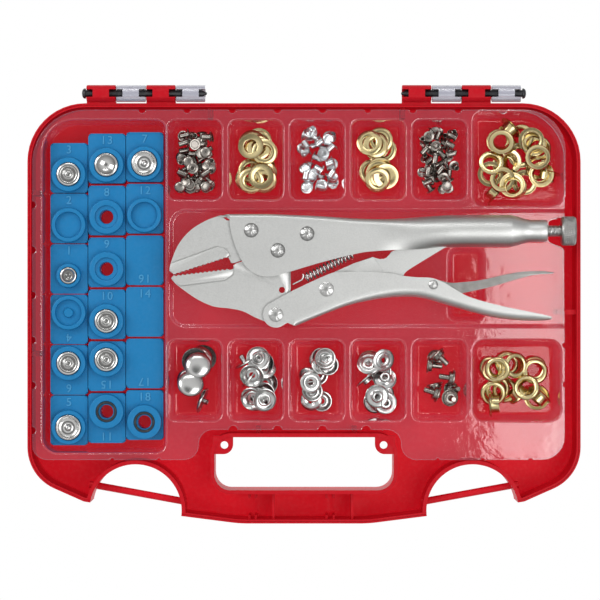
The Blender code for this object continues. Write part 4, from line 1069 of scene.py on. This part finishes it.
def buildHeap(well, corners):
    cadName, kinds, look, slot = heaps[well]
    dropped = droppedInto(corners, kinds, random.Random(f"{well}{heapLook['seed']}"))
    parts = []
    for kind in kinds:
        profile, sides = fastenerShapes[kind[0]]
        model = shapeObject(turned(profile, sides=sides))
        mine = [(place, turn) for name, place, turn in dropped if name == kind[0]]
        points = bpy.data.meshes.new("points")
        points.from_pydata([tuple(place) for place, _ in mine], [], [])
        turns = points.attributes.new("turn", "FLOAT_VECTOR", "POINT")
        turns.data.foreach_set("vector", [v for _, turn in mine for v in turn])
        mesh = grown("scatter", points, Shape=model, Size=1.0, Finish=finishes[look])
        bpy.data.objects.remove(model)
        parts.append(shapeFrom(mesh))
    first, second = cadName.split("_")
    placed(first + second.capitalize(), together(*parts), look, stands=[cadName], angle=40)


# locking pliers

pliersLook = {
    "midZ": 36.9, "jaw": 8.0, "channel": 12.7, "lever": 11.8, "link": 6.0, "release": 7.6,
    "tube": 9.88, "neck": 6.9, "screw": 3.7, "screwY": 37.6, "knob": 9.0, "sheet": 1.9, "leverSheet": 1.6,
    "teeth": 13, "toothDepth": 1.15, "moat": 0.65, "moatDepth": 1.45, "jawEase": 1.3,
    "coilRadius": 2.35, "wire": 0.58, "coilTurns": 14, "flutes": 8, "fluteDepth": 0.13,
    # the release lever's colour is the steel darkened as painted shade
    "steel": (0.65, 0.655, 0.64), "releaseShade": (0.21, 0.20, 0.185), "rivet": (0.50, 0.50, 0.49),
    "knurl": (0.36, 0.355, 0.345), "coil": (0.78, 0.78, 0.77),
}
pivots = {
    "frontRivet": (-32.5, 37.9), "rearRivet": (1.9, 35.8), "jaw": (-16.1, 25.5),
    "lever": (-17.3, -14.0), "link": (13.9, 1.6), "linkTip": (96.7, 36.6), "release": (79.5, 4.4),
    "springHole": (-13.6, 1.2), "springAnchor": (32.0, 24.6),
}
finishes["steel"] = finish("satinNickel", pliersLook["steel"], 0.42, 1.0, vary=0.10, grain=1300, bump=0.45,
                           depth=0.00007, dust=0.04, blotch=0.05)
# painted shade: a darkened copy of the satin nickel for the release lever
finishes["releaseShade"] = finish("shadedNickel", pliersLook["releaseShade"], 0.32, 1.0, vary=0.14, grain=1300, bump=0.4,
                            depth=0.00007, worn=(0.75, 0.74, 0.72), wear=0.5, dust=0.04, blotch=0.10)
finishes["knob"] = finish("knurledSteel", pliersLook["knurl"], 0.34, 1.0, vary=0.10, grain=1500, bump=0.25,
                          depth=0.00005, worn=(0.75, 0.74, 0.72), wear=0.8, dust=0.04)
finishes["rivet"] = finish("stakedRivet", pliersLook["rivet"], 0.30, 1.0, vary=0.05, grain=1800, dust=0.03)
finishes["coil"] = finish("springWire", pliersLook["coil"], 0.34, 1.0, vary=0.05, bump=0.1, dust=0.02)


def toothed(start, end):
    start, end = Vector(start), Vector(end)
    run, teeth = end - start, pliersLook["teeth"]
    out = Vector((run.y, -run.x)).normalized() * pliersLook["toothDepth"]
    points = []
    for k in range(teeth):
        for share, rise in ((0.0, 0.0), (0.18, 0.25), (0.5, 1.0), (0.68, 0.95)):
            points.append(tuple(start + run * (k + share) / teeth + out * rise))
    return points + [tuple(end)]


def flat(points, thickness, bevel=0.5, segments=3):
    z = pliersLook["midZ"]
    return slab(points, z - thickness / 2, z + thickness / 2, bevel, segments)


# the same raised patch on both sides of a jaw
def padded(points, bevel=0.35):
    z, half = pliersLook["midZ"], pliersLook["jaw"] / 2
    return [slab(points, z + half - 1.5, z + half, bevel, 3, bevelLow=False),
            slab(points, z - half, z - half + 1.5, bevel, 3)]


# the jaw with a narrow channel round its raised patch, on both sides
def moated(body, points):
    z, half, depth = pliersLook["midZ"], pliersLook["jaw"] / 2, pliersLook["moatDepth"]
    around = rounded([(x, y, 0) for x, y in points], -pliersLook["moat"])
    return carved(body, slab(around, z + half - depth, z + half + 3), slab(around, z - half - 3, z - half + depth))


def buildFixedJaw():
    teeth = toothed((-81.0, 11.4), (-46.8, 22.4))
    outline = teeth + curved([(-45.6, 20.0), (-44.5, 17.6), (-38.0, 19.6), (-30.0, 22.4)], 4)
    outline += arc(pivots["jaw"], 9.4, 195, -5, 16) + [(9.5, 26.5), (9.5, 42.6), (-20.0, 44.6), (-44.0, 45.2)]
    outline += [(-46.6, 43.6), (-48.2, 43.9)]
    outline += curved([(-50.9, 47.4), (-60.6, 43.8), (-70.1, 37.8), (-77.4, 29.1), (-82.2, 17.7), (-83.0, 13.0)], 6)
    pad = teeth + curved([(-45.9, 22.3), (-48.5, 26.4), (-53.9, 27.7)], 6) + [(-82.2, 17.3), (-83.0, 13.2)]
    body = moated(flat(outline, pliersLook["jaw"] - pliersLook["jawEase"], 0.35), pad)
    placed("fixedJaw", together(body, *padded(pad)), "steel", "pliers", ["fixed_jaw"], 40)


def buildMovingJaw():
    teeth = list(reversed(toothed((-45.9, 13.3), (-81.2, 9.0))))
    outline = curved([(-82.2, 8.6), (-79.8, 5.6), (-76.1, 2.6), (-66.0, -4.4), (-55.9, -8.9), (-45.9, -10.2),
                      (-37.8, -11.9), (-30.4, -15.6)], 6)
    outline += arc(pivots["lever"], 7.4, 215, 350, 12) + [(-8.2, -8.0), (-8.2, 17.5)]
    outline += arc(pivots["jaw"], 9.0, -28, 205, 18)
    outline += curved([(-30.0, 21.9), (-38.0, 18.9), (-43.0, 16.9), (-43.4, 14.4)], 4) + list(reversed(teeth))
    body = flat(outline, pliersLook["jaw"] - pliersLook["jawEase"], 0.35)
    hole = pivots["springHole"]
    body = carved(body, rod((*hole, 20), (*hole, 50), 1.9, 32))
    pad = [(-82.0, 8.4), (-79.4, 5.2), (-76.1, 3.8)] + curved([(-49.2, 7.3), (-44.1, 10.9), (-43.8, 14.3)], 6)
    pad += list(reversed(teeth))
    placed("movingJaw", together(moated(body, pad), *padded(pad)), "steel", "moving_jaw",
           ["moving_jaw"], 40)


# section of folded sheet at x, from one cheek's free edge round the fold to the other's
def channelRing(x, edge, fold, half, radius, roundness=0.0):
    z = pliersLook["midZ"]
    way = 1 if fold > edge else -1
    tall = abs(fold - edge)
    radius = min(radius, half * 0.98, max(tall * 0.9, 0.02))
    points = [(-half, edge + way * (tall - radius) * k / 8) for k in range(8)]
    for k in range(7):
        a = math.pi / 2 * k / 6
        points.append((-half + radius * (1 - math.cos(a)), fold - way * radius * (1 - math.sin(a))))
    points += [(-half + radius + (2 * (half - radius)) * k / 4, fold) for k in range(1, 4)]
    for k in range(7):
        a = math.pi / 2 * (1 - k / 6)
        points.append((half - radius * (1 - math.cos(a)), fold - way * radius * (1 - math.sin(a))))
    points += [(half, edge + way * (tall - radius) * (7 - k) / 8) for k in range(8)]
    if roundness > 0:
        lengths = [0.0]
        for a, b in zip(points, points[1:]):
            lengths.append(lengths[-1] + math.dist(a, b))
        middle, r = (edge + fold) / 2, tall / 2
        for i, length in enumerate(lengths):
            angle = -math.pi / 2 - math.tau * (0.003 + 0.994 * length / lengths[-1])
            goal = (r * math.cos(angle), middle + r * math.sin(angle))
            points[i] = tuple(p + (g - p) * roundness for p, g in zip(points[i], goal))
    return [(x, y, z + across) for across, y in points]


# folded sheet that closes into a round tube with a narrow neck
def buildFixedHandle():
    half, tube, neck = pliersLook["channel"] / 2, pliersLook["tube"], pliersLook["neck"]
    y0 = pliersLook["screwY"]
    lower = curved([(-45.85, 46.8), (-45.5, 40.5), (-43.2, 30.4), (-38.4, 19.4), (-33.7, 13.4), (-27.0, 9.9),
                    (-19.0, 9.7), (-8.9, 12.4), (9.9, 18.0), (30.7, 23.2), (39.6, 24.8), (53.3, 25.7),
                    (70.0, 26.3), (84.0, 27.2), (98.0, y0 - tube)], 7)
    upper = curved([(-45.9, 47.9), (-32.0, 47.9), (-19.0, 47.8), (9.9, 46.6), (33.7, 45.2), (48.0, 44.9),
                    (60.0, 45.3), (72.0, 46.2), (86.0, 47.2), (98.0, y0 + tube)], 7)
    rings = []
    for x, y in lower:
        blendIn = smoothStep(44.0, 99.0, x)
        wide = half + (tube - 0.05 - half) * blendIn ** 2
        fold = 2.2 + 2.2 * smoothStep(-30, 60, x)
        fold += (tube * 0.98 - fold) * blendIn
        rings.append(channelRing(x, y, heightAt(upper, x), wide, fold, blendIn))
    for x, r in ((104, tube), (112, tube), (120, tube), (127.0, tube), (128.4, tube - 0.1), (129.6, tube - 0.5),
                 (132.0, 8.9), (134.6, 8.0), (137.0, 7.3), (139.0, 6.95), (141.0, neck), (146.0, neck),
                 (149.0, neck), (149.8, neck - 0.3), (150.0, neck - 0.7)):
        rings.append(channelRing(x, y0 - r, y0 + r, r, r * 0.98, 1.0))
    surface = loft(rings, closed=False, caps=False)
    surface.normal_update()
    end = turned([(3.9, -6.0), (3.9, 0.4), (4.3, 0.9), (5.6, 0.9), (5.6, -6.0), (3.9, -6.0)],
                 (149.0, y0, pliersLook["midZ"]), (1, 0, 0), 48)
    handle = together(solid(surface, pliersLook["sheet"]), end)
    placed("fixedHandle", outward(handle), "steel", "pliers", ["fixed_handle"], 38)


# domed head with staked flutes, on both ends of a shaft
def rivetHead(centre, grip, radius, height, sides=96):
    z = pliersLook["midZ"]
    shares = (1.0, 0.985, 0.95, 0.90, 0.82, 0.72, 0.62, 0.52, 0.42, 0.32, 0.22, 0.12, 0.0)
    parts = []
    for way in (1, -1):
        rings = []
        for share in shares:
            ring = []
            for k in range(sides):
                a = math.tau * k / sides
                dome = height * (1 - share ** 2.6)
                dip = pliersLook["fluteDepth"] * height * math.exp(-((share - 0.60) / 0.24) ** 2)
                flute = dip * (0.5 + 0.5 * math.cos(pliersLook["flutes"] * a + math.pi))
                r = radius * share
                ring.append((centre[0] + r * math.cos(a), centre[1] + r * math.sin(a),
                             z + way * (grip + 0.25 + dome - flute)))
            rings.append(ring)
        base = [(x, y, z + way * (grip - 0.2)) for x, y, _ in rings[0]]
        head = loft([base] + rings, caps=False)
        bmesh.ops.remove_doubles(head, verts=head.verts, dist=1e-4)
        bmesh.ops.holes_fill(head, edges=[e for e in head.edges if e.is_boundary])
        parts.append(outward(head))
    parts.append(rod((*centre, z - grip), (*centre, z + grip), radius * 0.55, 24))
    return together(*parts)


def buildRivets():
    wide, lever = pliersLook["channel"] / 2, pliersLook["lever"] / 2
    for name, key, grip, radius, height, body, stands in (
            ("jawRivetFront", "frontRivet", wide, 4.5, 1.7, "pliers", "jaw_rivet_front"),
            ("jawRivetRear", "rearRivet", wide, 4.5, 1.7, "pliers", "jaw_rivet_rear"),
            ("jawPivotRivet", "jaw", wide, 4.5, 1.7, "pliers", "jaw_pivot_rivet"),
            ("leverPivotRivet", "lever", lever, 4.5, 1.0, "lever", "lever_pivot_rivet"),
            ("linkPin", "link", lever, 4.5, 1.0, "lever", "link_pin"),
            ("releasePin", "release", lever, 2.9, 0.9, "lever", "release_pin")):
        placed(name, rivetHead(pivots[key], grip, radius, height), "rivet", body, [stands], 60)


def leverEdges():
    lower = curved(arc(pivots["lever"], 8.0, 180, 290, 10), 2)
    lower = [p for p in lower if p[0] < -10.6]
    lower += curved([(-10.2, -19.0), (-5.6, -21.0)], 4)
    lower += curved([(-5.2, -21.0), (7.9, -15.6), (24.8, -9.1), (39.6, -5.4), (54.4, -3.3), (66.3, -3.0),
                     (75.2, -4.2), (87.0, -7.6), (103.3, -12.3), (115.9, -15.4), (128.6, -17.2),
                     (141.2, -17.9), (150.7, -17.3), (152.9, -16.3)], 8)
    upper = arc(pivots["lever"], 8.0, 180, 125, 8)
    upper += curved([(-8.2, 0.2), (7.9, 7.8), (17.1, 11.6), (21.7, 12.1), (39.6, 12.3), (53.8, 11.3), (61.6, 9.8),
                     (69.3, 9.0), (78.1, 8.6), (85.2, 6.2), (90.6, 3.0), (100.1, -2.4), (109.6, -5.6),
                     (122.3, -8.8), (134.9, -11.4), (150.0, -14.6), (152.9, -16.1)], 8)
    return lower, upper


def buildLever():
    lower, upper = leverEdges()
    half = pliersLook["lever"] / 2
    kept = []
    for x in sorted({round(x, 3) for x, _ in lower + upper if -25.25 < x < 152.7}):
        if not kept or x - kept[-1] > 0.35:
            kept.append(x)
    rings = []
    for x in kept:
        folded = smoothStep(-6.2, -4.8, x)
        radius = 0.05 + folded * (2.6 + 2.4 * smoothStep(10, 70, x))
        narrow = half - 1.1 * smoothStep(70, 150, x)
        rings.append(channelRing(x, heightAt(upper, x), heightAt(lower, x), narrow, radius))
    bm = loft(rings, closed=False, caps=False)
    # the two cheeks stand free round the pivot, so the fold between them is taken out there
    across = len(rings[0]) - 1
    bm.faces.ensure_lookup_table()
    drop = [bm.faces[i * across + k] for i, x in enumerate(kept[:-1]) if x < -6.2 for k in range(13, across - 13)]
    bmesh.ops.delete(bm, geom=drop, context="FACES")
    bm.normal_update()
    bmesh.ops.recalc_face_normals(bm, faces=bm.faces)
    if max(bm.faces, key=lambda f: f.calc_center_median().z).normal.z < 0:
        bmesh.ops.reverse_faces(bm, faces=bm.faces)
    placed("leverHandle", solid(bm, pliersLook["leverSheet"]), "steel", "lever", ["lever_handle"], 38)


def buildLink():
    outline = arc(pivots["link"], 6.6, 115, 290, 14)
    outline += curved([(38.0, -0.6), (50.0, 5.0), (58.6, 8.4), (61.4, 10.0), (63.5, 13.0), (87.0, 27.4)], 5)
    outline += arc(pivots["linkTip"], 4.4, -60, 110, 12)
    outline += curved([(70.0, 30.5), (56.0, 25.6), (53.3, 24.2), (51.6, 21.6), (47.9, 20.1), (43.8, 21.0),
                       (42.0, 21.6)], 5)
    outline += curved([(30.7, 17.6), (19.4, 12.6)], 4)
    placed("toggleLink", flat(outline, pliersLook["link"], 0.4), "steel", "toggle_link",
           ["toggle_link"], 40)


def buildRelease():
    lower = curved([(84.0, -0.4), (90.0, -2.0), (98.9, -0.5), (106.5, 1.1), (115.9, 3.3), (128.6, 7.1),
                    (141.2, 10.3), (153.3, 11.2)], 5)
    upper = curved([(147.6, 12.8), (134.9, 12.5), (122.3, 10.3), (109.6, 7.4), (100.1, 6.2), (90.6, 5.6),
                    (84.0, 7.0)], 5)
    outline = arc(pivots["release"], 3.4, 130, 250, 8) + lower + [(154.2, 12.0)] + upper
    placed("releaseLever", flat(outline, pliersLook["release"], 1.2, 4), "releaseShade", "release_lever",
           ["release_lever"], 50)


def buildScrew():
    y, z, r = pliersLook["screwY"], pliersLook["midZ"], pliersLook["screw"]
    axis, low, high, knob = (1, 0, 0), 158.7, 167.5, pliersLook["knob"]
    core = turned([(0, 104.2), (r - 1.4, 104.2), (r - 0.6, 105.4), (r - 0.6, 158.9), (0, 158.9)],
                  (0.0, y, z), axis, 32)
    pitch, turns = 1.25, 11
    thread = helix(r - 0.55, 0.5, turns, turns * pitch, 32, 6)
    thread.transform(Matrix.Translation((146.6, y, z)) @ Matrix.Rotation(math.pi / 2, 4, "Y"))
    rows, around, diamonds = 22, 176, (44, 7)
    rings = []
    for i in range(rows + 1):
        t = i / rows
        x = low + (high - low) * t
        ease = smoothStep(0, 0.12, t) * smoothStep(0, 0.12, 1 - t)
        ring = []
        for k in range(around):
            u, v = k / around * diamonds[0], t * diamonds[1]
            diamond = min(abs((u + v) % 1 - 0.5), abs((u - v) % 1 - 0.5)) * 2
            radius = knob - 0.75 * (1 - ease) - 0.42 * ease * (1 - min(diamond * 1.6, 1))
            a = math.tau * k / around
            ring.append((x, y + radius * math.cos(a), z + radius * math.sin(a)))
        rings.append(ring)
    inner = [[(x, y + 0.80 * (p[1] - y), z + 0.80 * (p[2] - z)) for p in ring]
             for x, ring in ((low, rings[0]), (high, rings[-1]))]
    wheel = outward(loft([inner[0]] + rings + [inner[1]]))
    placed("adjustingScrew", together(core, thread, wheel), "knob", "adjusting_screw",
           ["adjusting_screw"], 30)


def buildSpring():
    z = pliersLook["midZ"]
    start, end = Vector((*pivots["springHole"], z)), Vector((*pivots["springAnchor"], z))
    run, length = (end - start).normalized(), (end - start).length
    coilStart, coilEnd = length * 0.31, length * 0.955
    coil = helix(pliersLook["coilRadius"], pliersLook["wire"], pliersLook["coilTurns"], coilEnd - coilStart, 24, 8)
    turn = run.to_track_quat("Z", "Y").to_matrix().to_4x4()
    coil.transform(Matrix.Translation(start + run * coilStart) @ turn)
    side = run.cross(Vector((0, 0, 1)))
    lead = tube([start + run * length * along - side * out for along, out in
                 ((0.145, 0), (0.2, 0), (0.27, 0), (0.295, 0.9), (0.312, 1.9))], 0.5, 10)
    piece = placed("tensionSpring", together(coil, lead), "coil", "pliers", ["tension_spring"], 50)
    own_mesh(piece)


def buildPliers():
    buildFixedJaw()
    buildMovingJaw()
    buildFixedHandle()
    buildRivets()
    buildLever()
    buildLink()
    buildRelease()
    buildScrew()
    buildSpring()
    print("stage: pliers")


# stage, lights and camera

# lengths in metres here, power in watts
studio = {
    "floorHalf": 6.0, "floorZ": -0.0006, "sky": 0.95,
    "skyStops": [(0.0, 0.16), (0.25, 0.24), (0.60, 0.60), (0.93, 0.95), (0.985, 0.22), (1.0, 0.20)],
    # place, what it looks at, size, power
    "keySoftbox": ((-1.15, 0.50, 0.95), (0, 0, 0), (0.7, 0.9), 8.0),
    "fillSoftbox": ((0.75, -0.35, 1.55), (0, 0, 0), (1.0, 1.0), 8.5),
    "backStrip": ((-0.05, 1.15, 1.05), (0, 0, 0), (0.9, 0.10), 2.5),  # glints in the tray's corners
    "window": ((0.228, -0.037, 0.95), (0.228, -0.037, 0), (0.098, 0.27), 0.34),  # sheen on the tray alone
    "cameraHeight": 1.6, "cameraCentre": (-0.0025, -0.0050), "reach": 0.372, "focusHeight": 0.030, "sensor": 36.0,
}


def softbox(name):
    spot, aim, size, power = studio[name]
    lamp = bpy.data.lights.new(name, "AREA")
    lamp.shape = "RECTANGLE"
    lamp.size, lamp.size_y = size
    lamp.energy = power
    holder = bpy.data.objects.new(name, lamp)
    holder.location = spot
    holder.rotation_mode = "QUATERNION"
    holder.rotation_quaternion = (Vector(aim) - Vector(spot)).to_track_quat("-Z", "Y")
    scene.collection.objects.link(holder)
    return holder


def buildStage(tray):
    mesh = bpy.data.meshes.new("backdrop")
    half = studio["floorHalf"]
    mesh.from_pydata([(-half, -half, 0), (half, -half, 0), (half, half, 0), (-half, half, 0)], [], [(0, 1, 2, 3)])
    floor = bpy.data.objects.new("backdrop", mesh)
    floor.location.z = studio["floorZ"]
    scene.collection.objects.link(floor)
    paint = bpy.data.materials.new("backdropWhite")
    paint.use_nodes = True
    tree = paint.node_tree
    tree.nodes.remove(tree.nodes["Principled BSDF"])
    glow = node(tree, "ShaderNodeEmission", {"Color": (1, 1, 1, 1), "Strength": 1.0})
    tree.links.new(glow.outputs[0], tree.nodes["Material Output"].inputs["Surface"])
    mesh.materials.append(paint)

    # a pale sky, dark straight overhead so that flat tops keep their colour
    world = bpy.data.worlds.new("studio")
    scene.world = world
    world.use_nodes = True
    tree = world.node_tree
    back = tree.nodes["Background"]
    stops = studio["skyStops"]
    ramp = node(tree, "ShaderNodeValToRGB", {0: zOf(tree, node(tree, "ShaderNodeTexCoord").outputs["Generated"])})
    ramp.color_ramp.elements[0].position = stops[0][0]
    ramp.color_ramp.elements[1].position = stops[-1][0]
    for position, _ in stops[1:-1]:
        ramp.color_ramp.elements.new(position)
    for element, (position, value) in zip(ramp.color_ramp.elements, stops):
        element.position = position
        element.color = (value, value, value, 1)
    tree.links.new(ramp.outputs[0], back.inputs["Color"])
    back.inputs["Strength"].default_value = studio["sky"]

    for name in ("keySoftbox", "fillSoftbox", "backStrip"):
        softbox(name)
    lit = bpy.data.collections.new("litByWindow")
    lit.objects.link(tray)
    softbox("window").light_linking.receiver_collection = lit

    lens = bpy.data.cameras.new("camera")
    camera = bpy.data.objects.new("camera", lens)
    lens.sensor_width = studio["sensor"]
    away = studio["cameraHeight"] - studio["focusHeight"]
    lens.lens = lens.sensor_width / 2 / ((studio["reach"] / 2) / away)
    camera.location = (*studio["cameraCentre"], studio["cameraHeight"])
    lens.clip_start, lens.clip_end = 0.05, 20.0
    scene.collection.objects.link(camera)
    scene.camera = camera
    scene.view_settings.view_transform = "Standard"
    scene.view_settings.look = "None"
    print("stage: lights and camera")


buildCase()
buildHinges()
tray = buildTray()
for number in dies:
    buildDie(number)
    if dies[number][3] in insertRadius:
        buildInsert(number)
print("stage: dies")
for well, corners in wells().items():
    buildHeap(well, corners)
print("stage: fasteners")
buildPliers()
buildStage(tray)
